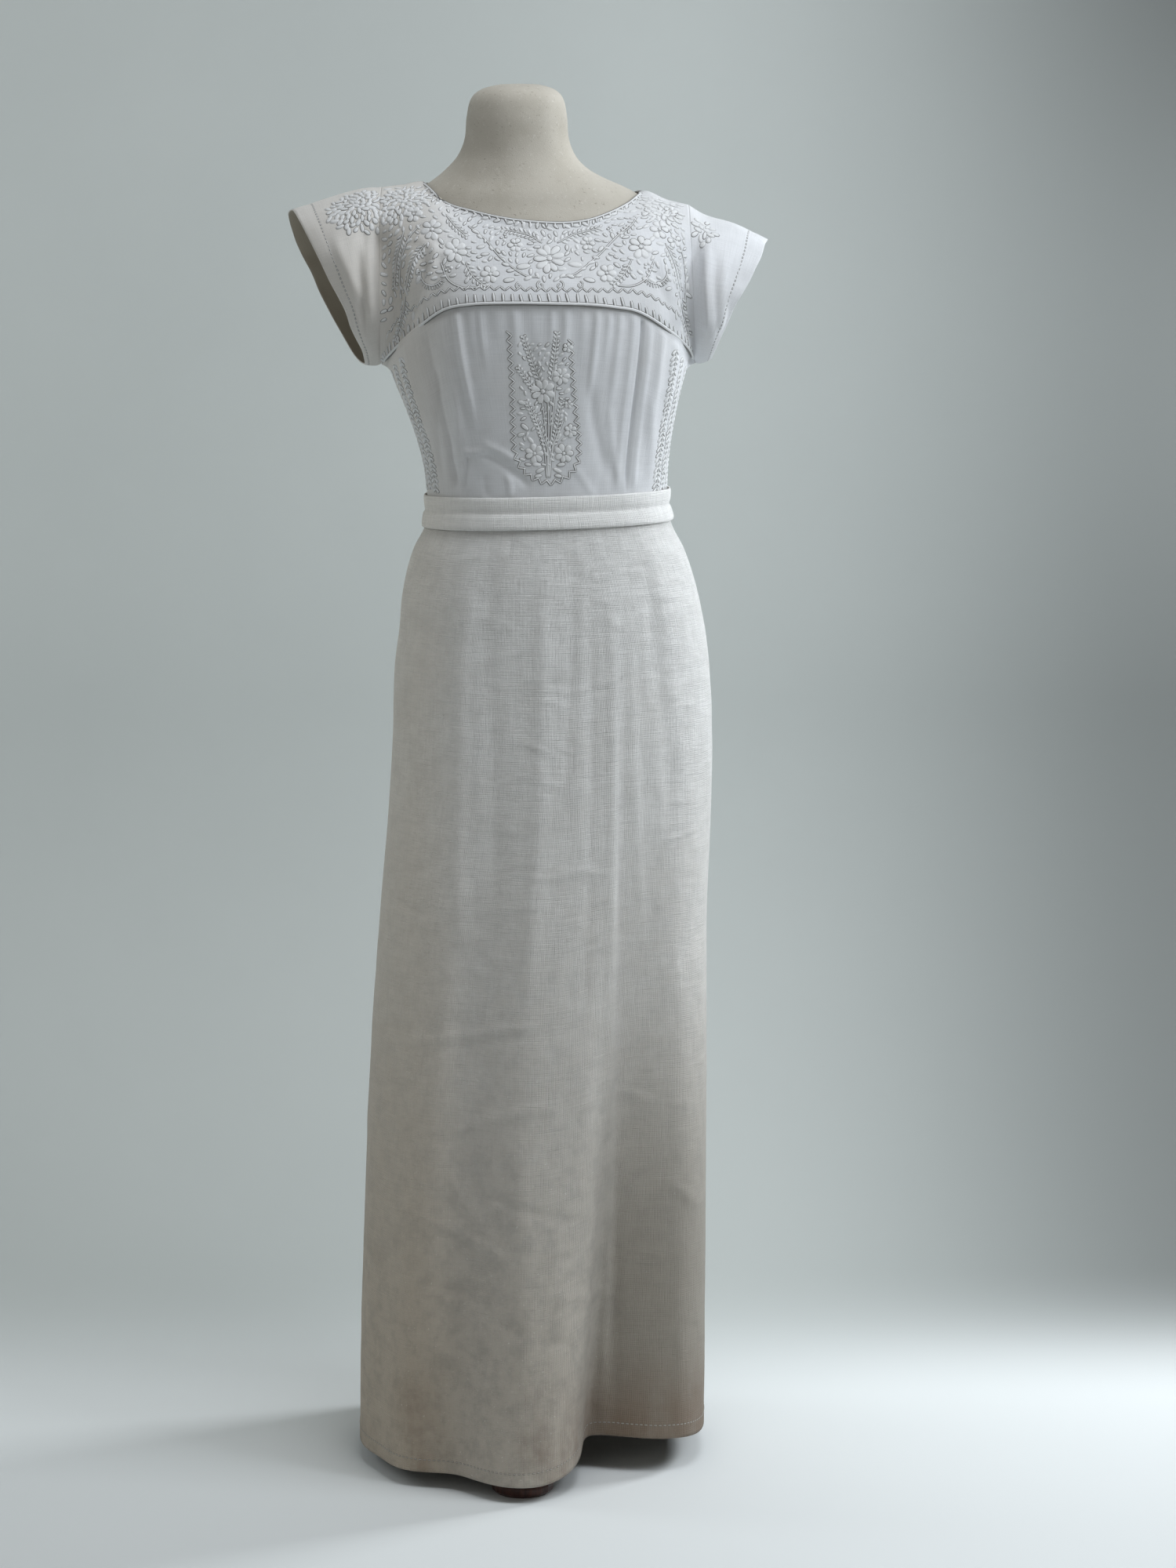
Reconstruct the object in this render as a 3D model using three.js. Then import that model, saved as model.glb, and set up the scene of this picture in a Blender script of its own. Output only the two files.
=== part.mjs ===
// A Mexican dress on a limbless dress form.
// The dress has a white cotton yoke and short sleeves, a gathered cotton bodice,
// a linen waistband and a long flared linen skirt. The form stands on a wooden tripod.
// Units are millimetres. +Z is up, -Y is the front, and +X is the viewer's right.

import * as THREE from 'three';
import { mergeVertices } from 'three/addons/utils/BufferGeometryUtils.js';

// ---------------------------------------------------------------- driving dimensions

const COTTON_WALL = 1.6;          // the thickness of a cotton piece, seam allowances included
const LINEN_WALL = 1.8;           // the thickness of the heavier linen
const SEAM_INSET = 0.5;           // how far an edge stops short of a seam where the cloth runs on straight
const CORNER_INSET = 1.0;         // the same where the cloth bends at the seam
const SHOULDER_INSET = 1.0;       // the same along the shoulders and the neckline
const SEAT_GAP = 1.1;             // between the neckline and the form it lies on
const WAIST_SEAM_HEIGHT = 1055;   // the seam hidden behind the waistband
const TUCK_GAP = 1.2;             // between the yoke and the bodice that runs up behind it
const TUCK_HEIGHT = 5;            // how far the bodice runs up behind the yoke
const UNDERARM_GAP = 1.6;         // between the sleeve and the side seam below it
const SOLID_GAP = 0.3;            // between the hard pieces of the form and its stand

// ---------------------------------------------------------------- tables

// The form, from its neck cap down to its base. left, right, front and back are
// the reaches of each section from the origin's vertical line.
const FORM_SECTIONS = [
  { z: 1504.6, left: -52, right: -10, front: -32, back: 10, power: 2.0 },
  { z: 1501, left: -68, right: 4, front: -46, back: 26, power: 2.0 },
  { z: 1492, left: -81, right: 15, front: -56, back: 38, power: 2.1 },
  { z: 1472, left: -87, right: 20, front: -59, back: 44, power: 2.1 },
  { z: 1448, left: -89.5, right: 22, front: -57, back: 52, power: 2.1 },
  { z: 1430, left: -97, right: 29, front: -56, back: 58, power: 2.0 },
  { z: 1417, left: -108.5, right: 41, front: -57, back: 63, power: 2.0 },
  { z: 1407, left: -120, right: 58, front: -59, back: 67, power: 2.0 },
  { z: 1398.5, left: -132.5, right: 78, front: -62, back: 71, power: 2.0 },
  { z: 1389, left: -146, right: 96.5, front: -66, back: 74.5, power: 2.0 },
  { z: 1375, left: -160, right: 114.5, front: -70, back: 76.5, power: 2.0 },
  { z: 1358, left: -172, right: 133, front: -77, back: 81, power: 2.0 },
  { z: 1335, left: -178, right: 144, front: -85, back: 85, power: 2.0 },
  { z: 1300, left: -176, right: 149, front: -97, back: 91, power: 2.1 },
  { z: 1262, left: -164, right: 140, front: -107, back: 94, power: 2.2 },
  { z: 1225, left: -154, right: 134, front: -113, back: 97, power: 2.2 },
  { z: 1190, left: -145, right: 126, front: -109, back: 93, power: 2.2 },
  { z: 1150, left: -137, right: 121, front: -101, back: 88, power: 2.2 },
  { z: 1110, left: -130, right: 119, front: -95, back: 84, power: 2.2 },
  { z: 1060, left: -126, right: 121, front: -93, back: 83, power: 2.2 },
  { z: 1010, left: -134, right: 133, front: -99, back: 92, power: 2.2 },
  { z: 960, left: -147, right: 148, front: -105, back: 106, power: 2.2 },
  { z: 900, left: -156, right: 161, front: -109, back: 119, power: 2.2 },
  { z: 840, left: -156, right: 163, front: -109, back: 121, power: 2.2 },
  { z: 806, left: -150, right: 157, front: -104, back: 115, power: 2.2 },
  { z: 796, left: -141, right: 148, front: -96, back: 107, power: 2.2 },
];

const CROWN_RISE = 0.9;           // of the neck cap above its first section

// The front yoke, from the viewer's left armhole to the right one. Each row is one
// section that hangs from (topX, topZ) to (seamX, seamY, seamZ). The first and last
// three rows start on the shoulder line, and the rest on the neckline, which lies on
// the form. lean is how far forward the cloth aims from its top and drop how far down;
// swell and rise aim it at its seam.
const FRONT_YOKE_SECTIONS = [
  { topX: -178.6, topZ: 1396, seamX: -180, seamY: 0, seamZ: 1209.5, lean: 92, drop: 8, swell: 92, rise: 8 },
  { topX: -156, topZ: 1398.5, seamX: -167, seamY: -50, seamZ: 1221, lean: 96, drop: 14, swell: 34, rise: 44 },
  { topX: -131.5, topZ: 1401, seamX: -143, seamY: -87, seamZ: 1243, lean: 100, drop: 22, swell: 13, rise: 52 },
  { topX: -106.8, topZ: 1380.6, seamX: -111, seamY: -111, seamZ: 1267, lean: 94, drop: 26, swell: 2, rise: 44 },
  { topX: -79.5, topZ: 1372, seamX: -80, seamY: -124, seamZ: 1274, lean: 90, drop: 28, swell: -4, rise: 36 },
  { topX: -40, topZ: 1363.6, seamX: -38, seamY: -131, seamZ: 1275.5, lean: 92, drop: 28, swell: -6, rise: 32 },
  { topX: 5, topZ: 1359.6, seamX: 6, seamY: -133, seamZ: 1275, lean: 93, drop: 28, swell: -6, rise: 30 },
  { topX: 37.5, topZ: 1361.6, seamX: 42, seamY: -131, seamZ: 1274, lean: 90, drop: 28, swell: -6, rise: 32 },
  { topX: 61.6, topZ: 1369, seamX: 72, seamY: -125, seamZ: 1271, lean: 87, drop: 28, swell: -4, rise: 36 },
  { topX: 82.3, topZ: 1379, seamX: 96, seamY: -115, seamZ: 1266, lean: 87, drop: 26, swell: 2, rise: 44 },
  { topX: 101.9, topZ: 1392, seamX: 123, seamY: -97, seamZ: 1249.5, lean: 94, drop: 22, swell: 13, rise: 52 },
  { topX: 126, topZ: 1383, seamX: 147, seamY: -56, seamZ: 1228, lean: 95, drop: 14, swell: 33, rise: 44 },
  { topX: 150, topZ: 1377, seamX: 158, seamY: 0, seamZ: 1211, lean: 88, drop: 8, swell: 88, rise: 8 },
];

// The back yoke, from the viewer's right armhole round to the left one.
const BACK_YOKE_SECTIONS = [
  { topX: 150, topZ: 1377, seamX: 158, seamY: 0, seamZ: 1211, lean: 92, drop: 8, swell: 92, rise: 8 },
  { topX: 126, topZ: 1383, seamX: 147, seamY: 53, seamZ: 1228, lean: 97, drop: 14, swell: 36, rise: 44 },
  { topX: 101.9, topZ: 1392, seamX: 118, seamY: 86, seamZ: 1248, lean: 98, drop: 22, swell: 16, rise: 52 },
  { topX: 74, topZ: 1387, seamX: 78, seamY: 104, seamZ: 1262, lean: 89, drop: 34, swell: 8, rise: 46 },
  { topX: 24, topZ: 1383, seamX: 26, seamY: 112, seamZ: 1266, lean: 92, drop: 36, swell: 4, rise: 42 },
  { topX: -44, topZ: 1384, seamX: -40, seamY: 112, seamZ: 1266, lean: 95, drop: 36, swell: 4, rise: 42 },
  { topX: -98, topZ: 1389, seamX: -96, seamY: 104, seamZ: 1262, lean: 93, drop: 34, swell: 8, rise: 46 },
  { topX: -131.5, topZ: 1401, seamX: -139, seamY: 84, seamZ: 1246, lean: 98, drop: 22, swell: 16, rise: 52 },
  { topX: -156, topZ: 1398.5, seamX: -166, seamY: 50, seamZ: 1222, lean: 97, drop: 14, swell: 36, rise: 44 },
  { topX: -178.6, topZ: 1396, seamX: -180, seamY: 0, seamZ: 1209.5, lean: 92, drop: 8, swell: 92, rise: 8 },
];

const FRONT_YOKE = {
  sections: FRONT_YOKE_SECTIONS, side: -1, neck: [2, 10], columns: [2, 3, 6, 3, 2, 2, 2, 2, 3, 6, 3, 2],
};
const BACK_YOKE = {
  sections: BACK_YOKE_SECTIONS, side: 1, neck: [2, 7], columns: [2, 3, 7, 4, 4, 4, 7, 3, 2],
};

// The rows of a yoke, as shares of its drop: they crowd over the form's shoulder.
const YOKE_DROPS = [0, 0.05, 0.11, 0.19, 0.3, 0.45, 0.62, 0.8, 1];

// The sleeves, from armhole to hem. front and back are how far the ring swells;
// frontX and backX move its two halves along X and so turn the opening.
const LEFT_SLEEVE_RINGS = [
  { topX: -178.6, topZ: 1396, lowX: -180, lowZ: 1209.5, front: 92, back: 92, drop: 8, frontX: 0, backX: 0 },
  { topX: -200, topZ: 1394.2, lowX: -184, lowZ: 1207.5, front: 96, back: 96, drop: 8, frontX: 4, backX: -2 },
  { topX: -238, topZ: 1384, lowX: -191, lowZ: 1207.5, front: 93, back: 90, drop: 7, frontX: 10, backX: -12 },
  { topX: -276, topZ: 1371, lowX: -199.5, lowZ: 1209.5, front: 80, back: 82, drop: 6, frontX: 14, backX: -22 },
];
const RIGHT_SLEEVE_RINGS = [
  { topX: 150, topZ: 1377, lowX: 158, lowZ: 1211, front: 88, back: 92, drop: 8, frontX: 0, backX: 0 },
  { topX: 170, topZ: 1365.5, lowX: 162, lowZ: 1209.5, front: 93, back: 95, drop: 8, frontX: 2, backX: 0 },
  { topX: 202, topZ: 1357, lowX: 168, lowZ: 1211, front: 88, back: 90, drop: 7, frontX: 1, backX: -6 },
  { topX: 235, topZ: 1341.5, lowX: 174, lowZ: 1214, front: 76, back: 78, drop: 6, frontX: -2, backX: -14 },
];

// Folds of the gathered bodice. at is the place across the panel, 0 to 1, width and
// depth are in millimetres (a ridge is positive), and it runs between two shares of the drop.
const FRONT_BODICE_FOLDS = [
  { at: 0.135, width: 7, depth: 2.0, from: 0.0, to: 0.62 },
  { at: 0.200, width: 8, depth: -4.6, from: 0.12, to: 1.3 },
  { at: 0.245, width: 8, depth: 2.4, from: 0.0, to: 1.3 },
  { at: 0.295, width: 6, depth: 4.2, from: -0.1, to: 0.70 },
  { at: 0.335, width: 5, depth: 2.2, from: -0.1, to: 0.42 },
  { at: 0.368, width: 5, depth: 2.4, from: -0.1, to: 0.50 },
  { at: 0.402, width: 5, depth: 2.0, from: -0.1, to: 0.36 },
  { at: 0.438, width: 5, depth: 2.4, from: -0.1, to: 0.44 },
  { at: 0.474, width: 5, depth: 2.0, from: -0.1, to: 0.34 },
  { at: 0.510, width: 5, depth: 2.2, from: -0.1, to: 0.40 },
  { at: 0.546, width: 5, depth: 2.4, from: -0.1, to: 0.36 },
  { at: 0.582, width: 5, depth: 2.2, from: -0.1, to: 0.42 },
  { at: 0.620, width: 6, depth: 2.8, from: -0.1, to: 0.60 },
  { at: 0.660, width: 5, depth: 2.4, from: -0.1, to: 0.66 },
  { at: 0.696, width: 5, depth: 2.4, from: -0.1, to: 0.74 },
  { at: 0.735, width: 6, depth: 3.4, from: -0.1, to: 1.3 },
  { at: 0.762, width: 4, depth: -3.6, from: 0.0, to: 1.3 },
  { at: 0.790, width: 6, depth: 3.4, from: -0.1, to: 1.3 },
  { at: 0.835, width: 6, depth: 2.4, from: 0.0, to: 0.80 },
  { at: 0.880, width: 7, depth: 2.0, from: 0.0, to: 0.66 },
];
const BACK_GATHERS = { count: 16, first: 0.14, last: 0.86, width: 6, depth: 2.3, length: 0.6 };
const BODICE_WIDTH = 380;         // across a bodice panel, from side seam to side seam
const UNDERARM_CURVE = 30;        // how far the side seam swings in below the armhole
const BODICE_FALL = { below: 58, aboveWaist: 72, underarm: 12 };
const BODICE_DROPS = [0, 0.035, 0.085, 0.19, 0.33, 0.49, 0.66, 0.82, 0.92, 1];

// The skirt's plain sections: reaches to the left, right, front and back.
const SKIRT_SECTIONS = [
  { z: 1056, left: -130.5, right: 127, front: -100.5, back: 90, power: 2.2 },
  { z: 1034, left: -133, right: 132.6, front: -103, back: 94, power: 2.2 },
  { z: 1007, left: -146.6, right: 146.4, front: -108, back: 104, power: 2.2 },
  { z: 967, left: -157.1, right: 159.4, front: -114, back: 117, power: 2.2 },
  { z: 920, left: -162.4, right: 169.2, front: -119, back: 130, power: 2.2 },
  { z: 877, left: -168, right: 174.3, front: -123, back: 138, power: 2.2 },
  { z: 800, left: -170.6, right: 177.4, front: -132, back: 146, power: 2.2 },
  { z: 712, left: -176.4, right: 176.2, front: -143, back: 156, power: 2.2 },
  { z: 610, left: -185.4, right: 172.6, front: -156, back: 166, power: 2.25 },
  { z: 500, left: -193.6, right: 172.7, front: -168, back: 176, power: 2.25 },
  { z: 380, left: -200.6, right: 172.9, front: -180, back: 185, power: 2.3 },
  { z: 240, left: -206, right: 172.5, front: -191, back: 193, power: 2.3 },
  { z: 100, left: -210.6, right: 171.6, front: -199, back: 199, power: 2.3 },
  { z: 18, left: -211.6, right: 171, front: -203, back: 202, power: 2.3 },
];

// The flutes of the skirt. An angle is measured round from +X, so -90 is the front;
// depth is at the hem, inward for a trough and negative for a ridge.
const SKIRT_FLUTES = [
  { hemAngle: -117, topAngle: -112, spread: 9, depth: 25, start: 985, power: 1.3 },
  { hemAngle: -92, topAngle: -94, spread: 7, depth: -9, start: 900, power: 1.2 },
  { hemAngle: -57.5, topAngle: -49, spread: 12.5, depth: 97, start: 975, power: 1.75 },
  { hemAngle: -147, topAngle: -143, spread: 8, depth: 7, start: 900, power: 1.0 },
  { hemAngle: 64, topAngle: 58, spread: 12, depth: 26, start: 900, power: 1.3 },
  { hemAngle: 104, topAngle: 100, spread: 11, depth: 20, start: 860, power: 1.3 },
  { hemAngle: 138, topAngle: 134, spread: 10, depth: -6, start: 860, power: 1.2 },
];
const SKIRT_DROPS = [0, 0.018, 0.042, 0.072, 0.11, 0.16, 0.225, 0.305, 0.4, 0.51, 0.63, 0.755, 0.88, 1];
const HEM_HEIGHTS = [
  { angle: -180, z: 18 },
  { angle: -88, z: 18 },
  { angle: -66, z: 31 },
  { angle: -50, z: 40 },
  { angle: -35, z: 39 },
  { angle: -14, z: 33 },
  { angle: 30, z: 28 },
  { angle: 100, z: 24 },
  { angle: 180, z: 18 },
];

// The waistband's profile from its top edge to its bottom edge: out is how far its
// middle surface stands off the cloth behind it.
const WAISTBAND_PROFILE = [
  { share: 0.0, out: 3.2 },
  { share: 0.36, out: 3.4 },
  { share: 0.72, out: 4.6 },
  { share: 1.0, out: 3.2 },
];
const WAISTBAND = { top: 1071.5, bottom: 1037.5, topTilt: 0.027, bottomTilt: 0.029 };

// The tripod: a turned pole and hub, three curved legs, and a round foot under each.
// reach is from the pole's axis to a foot's middle.
const POLE = { x: -12, y: -5, radius: 15 };
const COLLAR = { radius: 46, height: 14, edge: 3 };
const HUB = { bottom: 92, top: 196, radius: 27 };
const FOOT = { radius: 35, height: 22, reach: 157 };
const LEG = { thickness: 26, bottom: 102, top: 176, halfEnd: 22, endHeight: 46 };
const LEG_ANGLES = { front: -96, right: 24, left: 144 };

// How finely each piece is divided.
const SLEEVE_COLUMNS = 11;
const SLEEVE_ROWS = 4;
const BAND_COLUMNS = 52;
const FORM_COLUMNS = 32;
const TURNED_COLUMNS = 20;
const FRONT_GATHER_COLUMNS = { from: 0.12, to: 0.89, count: 52 };
const BACK_GATHER_COLUMNS = { from: 0.12, to: 0.88, count: 36 };

// ---------------------------------------------------------------- materials

const cotton = new THREE.MeshStandardMaterial({ color: 0xe6e9ef, roughness: 0.85, metalness: 0 });
const sleeveCotton = new THREE.MeshStandardMaterial({ color: 0xe2e5ea, roughness: 0.85, metalness: 0 });
const linen = new THREE.MeshStandardMaterial({ color: 0xcfccc4, roughness: 0.92, metalness: 0 });
const canvas = new THREE.MeshStandardMaterial({ color: 0xc9c1ae, roughness: 0.9, metalness: 0 });
const darkWood = new THREE.MeshStandardMaterial({ color: 0x3a1d16, roughness: 0.45, metalness: 0 });

// ---------------------------------------------------------------- interpolation

// A smooth curve through a table. key names the column that is the place along it.
function through(rows, key, place) {
  const last = rows.length - 1;
  const rising = rows[last][key] > rows[0][key];
  const sorted = rising ? rows : [...rows].reverse();
  const at = THREE.MathUtils.clamp(place, sorted[0][key], sorted[last][key]);
  let index = 0;
  while (index < last - 1 && at > sorted[index + 1][key]) index += 1;
  const [from, to] = [sorted[index], sorted[index + 1]];
  const span = to[key] - from[key];
  const share = (at - from[key]) / span;
  const before = sorted[Math.max(index - 1, 0)];
  const after = sorted[Math.min(index + 2, last)];
  const row = {};
  for (const column of Object.keys(from)) {
    row[column] = hermite(
      from[column], to[column],
      slope(before, to, key, column) * span, slope(from, after, key, column) * span, share);
  }
  return row;
}

function slope(before, after, key, column) {
  const span = after[key] - before[key];
  return span === 0 ? 0 : (after[column] - before[column]) / span;
}

function hermite(from, to, startSlope, endSlope, share) {
  const square = share * share;
  const cube = square * share;
  return from * (2 * cube - 3 * square + 1) + to * (3 * square - 2 * cube)
    + startSlope * (cube - 2 * square + share) + endSlope * (cube - square);
}

// The rows of a table numbered evenly from 0 to 1, so that it can be read along "share".
const numbered = (rows) => rows.map((row, index) => ({ ...row, share: index / (rows.length - 1) }));

const range = (count) => Array.from({ length: count + 1 }, (unused, index) => index / count);
const bell = (distance, spread) => Math.exp(-0.5 * (distance / spread) ** 2);

// ---------------------------------------------------------------- section outlines

// The reach of a section from its own middle at a polar angle.
function sectionReach(section, angle) {
  const halfX = (section.right - section.left) / 2;
  const halfY = (section.back - section.front) / 2;
  const sum = Math.abs(Math.cos(angle) / halfX) ** section.power
    + Math.abs(Math.sin(angle) / halfY) ** section.power;
  return sum ** (-1 / section.power);
}

const sectionMiddle = (section) => new THREE.Vector3(
  (section.left + section.right) / 2, (section.front + section.back) / 2, section.z);

// A point of a section at a polar angle about its middle.
function sectionPoint(section, angle) {
  const reach = sectionReach(section, angle);
  return sectionMiddle(section).add(new THREE.Vector3(reach * Math.cos(angle), reach * Math.sin(angle), 0));
}

// How far forward (side -1) or back (side +1) the form reaches at a place in the front view.
function formDepth(x, z, side) {
  const section = through(FORM_SECTIONS, 'z', z);
  const middle = sectionMiddle(section);
  const across = Math.min(Math.abs(x - middle.x) / ((section.right - section.left) / 2), 1);
  const half = (section.back - section.front) / 2;
  return middle.y + side * half * (1 - across ** section.power) ** (1 / section.power);
}

// Moves a point of cloth straight outward until it lies clear of the form.
function clearOfForm(point, clearance) {
  const section = through(FORM_SECTIONS, 'z', point.z);
  const middle = sectionMiddle(section);
  const fromMiddle = point.clone().sub(middle);
  const angle = Math.atan2(fromMiddle.y, fromMiddle.x);
  const reach = sectionReach(section, angle);
  const reachBelow = sectionReach(through(FORM_SECTIONS, 'z', point.z - 2), angle);
  const flare = (reachBelow - reach) / 2;
  const needed = reach + clearance * Math.hypot(1, flare);
  if (fromMiddle.length() < needed) point.copy(middle.addScaledVector(fromMiddle.setLength(needed), 1));
  return point;
}

// ---------------------------------------------------------------- cloth walls

// A grid is rows of points, from the top edge down, each row running round the garment.
function surfaceNormals(grid, closed) {
  const rows = grid.length;
  const columns = grid[0].length;
  return grid.map((row, i) => row.map((point, j) => {
    const up = grid[Math.max(i - 1, 0)][j];
    const down = grid[Math.min(i + 1, rows - 1)][j];
    const left = closed ? row[(j + columns - 1) % columns] : row[Math.max(j - 1, 0)];
    const right = closed ? row[(j + 1) % columns] : row[Math.min(j + 1, columns - 1)];
    const alongColumn = down.clone().sub(up);
    const alongRow = right.clone().sub(left);
    return alongColumn.cross(alongRow).normalize();
  }));
}

// A closed solid of even thickness about a grid of points.
function clothWall(grid, thickness, closed = false) {
  const rows = grid.length;
  const columns = grid[0].length;
  const normals = surfaceNormals(grid, closed);
  const positions = [];
  for (const side of [0.5, -0.5]) {
    grid.forEach((row, i) => row.forEach((point, j) => {
      const moved = point.clone().addScaledVector(normals[i][j], side * thickness);
      positions.push(moved.x, moved.y, moved.z);
    }));
  }
  const outer = (i, j) => i * columns + (j % columns);
  const inner = (i, j) => rows * columns + outer(i, j);
  const triangles = [];
  const quad = (a, b, c, d) => triangles.push(a, b, c, a, c, d);
  const spans = closed ? columns : columns - 1;
  for (let i = 0; i < rows - 1; i += 1) {
    for (let j = 0; j < spans; j += 1) {
      quad(outer(i, j), outer(i + 1, j), outer(i + 1, j + 1), outer(i, j + 1));
      quad(inner(i, j), inner(i, j + 1), inner(i + 1, j + 1), inner(i + 1, j));
    }
    if (!closed) {
      quad(outer(i, 0), inner(i, 0), inner(i + 1, 0), outer(i + 1, 0));
      quad(outer(i, spans), outer(i + 1, spans), inner(i + 1, spans), inner(i, spans));
    }
  }
  for (let j = 0; j < spans; j += 1) {
    quad(outer(0, j), outer(0, j + 1), inner(0, j + 1), inner(0, j));
    quad(outer(rows - 1, j), inner(rows - 1, j), inner(rows - 1, j + 1), outer(rows - 1, j + 1));
  }
  const geometry = new THREE.BufferGeometry();
  geometry.setAttribute('position', new THREE.Float32BufferAttribute(positions, 3));
  geometry.setIndex(triangles);
  return geometry;
}

// Draws the named edges of a grid back from their seams.
function trimmed(grid, edges, inset) {
  const pull = (point, inward) => point.addScaledVector(inward.clone().sub(point).normalize(), inset);
  const lastRow = grid.length - 1;
  const lastColumn = grid[0].length - 1;
  if (edges.includes('top')) grid[0].forEach((point, j) => pull(point, grid[1][j]));
  if (edges.includes('bottom')) grid[lastRow].forEach((point, j) => pull(point, grid[lastRow - 1][j]));
  if (edges.includes('start')) grid.forEach((row) => pull(row[0], row[1]));
  if (edges.includes('end')) grid.forEach((row) => pull(row[lastColumn], row[lastColumn - 1]));
  return grid;
}

// ---------------------------------------------------------------- yokes and sleeves

// One hanging line of a yoke. side is -1 for the front and +1 for the back.
function yokeLine(section, side, onNeckline) {
  const top = new THREE.Vector3(section.topX, 0, section.topZ);
  if (onNeckline) top.y = formDepth(section.topX, section.topZ, side);
  const seam = new THREE.Vector3(section.seamX, section.seamY, section.seamZ);
  return new THREE.CubicBezierCurve3(
    top,
    new THREE.Vector3(section.topX, side * section.lean, section.topZ - section.drop),
    seam.clone().add(new THREE.Vector3(0, side * section.swell, section.rise)),
    seam);
}

// A yoke panel, clear of the form. neck holds the rows between which its top is the neckline.
function yokeGrid(yoke, columnPlaces) {
  const table = numbered(yoke.sections);
  const grid = YOKE_DROPS.map(() => []);
  for (const share of columnPlaces) {
    const row = share * (yoke.sections.length - 1);
    const onNeckline = row > yoke.neck[0] + 0.01 && row < yoke.neck[1] - 0.01;
    const line = yokeLine(through(table, 'share', share), yoke.side, onNeckline);
    YOKE_DROPS.forEach((drop, i) => {
      grid[i].push(clearOfForm(line.getPoint(drop), COTTON_WALL / 2 + SEAT_GAP));
    });
  }
  return grid;
}

// A sleeve is a tube of rings, front half first, from the armhole to the hem.
function sleeveGrid(rings, side) {
  const table = numbered(rings);
  return range(SLEEVE_ROWS).map((share) => {
    const ring = through(table, 'share', share);
    const top = new THREE.Vector3(ring.topX, 0, ring.topZ);
    const low = new THREE.Vector3(ring.lowX, 0, ring.lowZ);
    const half = (shift, swell) => new THREE.CubicBezierCurve3(
      top,
      top.clone().add(new THREE.Vector3(shift, swell, -ring.drop)),
      low.clone().add(new THREE.Vector3(shift, swell, ring.drop)),
      low);
    const places = range(SLEEVE_COLUMNS);
    const front = places.map((t) => half(ring.frontX, -ring.front).getPoint(t));
    const back = places.map((t) => half(ring.backX, ring.back).getPoint(t)).reverse();
    const loop = [...front.slice(0, -1), ...back.slice(0, -1)];
    return side < 0 ? loop : loop.reverse();
  });
}

// ---------------------------------------------------------------- bodice

const waistPoint = (angle) => sectionPoint(through(SKIRT_SECTIONS, 'z', WAIST_SEAM_HEIGHT), angle);

// How far a gathered panel stands off its plain surface.
function foldDepth(folds, across, drop) {
  let depth = 0;
  for (const fold of folds) {
    const fade = THREE.MathUtils.smoothstep(drop, fold.from - 0.08, fold.from + 0.08)
      * (1 - THREE.MathUtils.smoothstep(drop, fold.to - 0.3, fold.to));
    depth += fold.depth * fade * bell((across - fold.at) * BODICE_WIDTH, fold.width / 2);
  }
  return depth * THREE.MathUtils.smoothstep(drop, BODICE_DROPS[1], BODICE_DROPS[2])
    * (1 - THREE.MathUtils.smoothstep(drop, BODICE_DROPS.at(-3), BODICE_DROPS.at(-2)));
}

// A gathered panel from behind the yoke's lower edge down to the waist.
function bodiceGrid(yoke, folds, columnPlaces) {
  const yokeRows = yokeGrid(yoke, columnPlaces);
  const outward = surfaceNormals(yokeRows, false).at(-1);
  const grid = BODICE_DROPS.map(() => []);
  columnPlaces.forEach((share, j) => {
    const seam = yokeRows.at(-1)[j];
    const upward = yokeRows.at(-2)[j].clone().sub(seam).normalize();
    const angle = yoke.side < 0 ? Math.PI * (share - 1) : Math.PI * share;
    const atSide = (1 - Math.sin(Math.PI * share)) ** 6;      // 1 at a side seam, 0 elsewhere
    // towards the underarm the top edge first drops below the yoke and then comes out from behind it
    const { lerp, smoothstep } = THREE.MathUtils;
    const height = lerp(TUCK_HEIGHT, -UNDERARM_GAP, smoothstep(atSide, 0.05, 0.4));
    const depth = (COTTON_WALL + TUCK_GAP) * (1 - smoothstep(atSide, 0.5, 1));
    const fall = lerp(BODICE_FALL.below, BODICE_FALL.underarm, atSide);
    upward.lerp(new THREE.Vector3(0, 0, 1), smoothstep(atSide, 0.3, 1));
    const top = seam.clone().addScaledVector(upward, height).addScaledVector(outward[j], -depth);
    const waist = waistPoint(angle);
    const line = new THREE.CubicBezierCurve3(
      top,
      top.clone().add(new THREE.Vector3(-Math.sign(seam.x) * UNDERARM_CURVE * atSide, 0, -fall)),
      waist.clone().add(new THREE.Vector3(0, 0, BODICE_FALL.aboveWaist)),
      waist);
    BODICE_DROPS.forEach((drop, i) => grid[i].push(line.getPoint(drop)));
  });
  const normals = surfaceNormals(grid, false);
  grid.forEach((row, i) => row.forEach((point, j) => {
    point.addScaledVector(normals[i][j], foldDepth(folds, columnPlaces[j], BODICE_DROPS[i]));
  }));
  return grid;
}

// ---------------------------------------------------------------- skirt and waistband

function skirtPoint(angle, z, hemZ) {
  const section = through(SKIRT_SECTIONS, 'z', z);
  const plain = sectionPoint(section, angle);
  const degrees = THREE.MathUtils.radToDeg(angle);
  let inward = 0;
  for (const flute of SKIRT_FLUTES) {
    const share = THREE.MathUtils.clamp((flute.start - z) / (flute.start - hemZ), 0, 1);
    const middle = THREE.MathUtils.lerp(flute.topAngle, flute.hemAngle, share);
    inward += flute.depth * share ** flute.power * bell(degrees - middle, flute.spread);
  }
  return plain.addScaledVector(new THREE.Vector3(Math.cos(angle), Math.sin(angle), 0), -inward);
}

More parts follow.
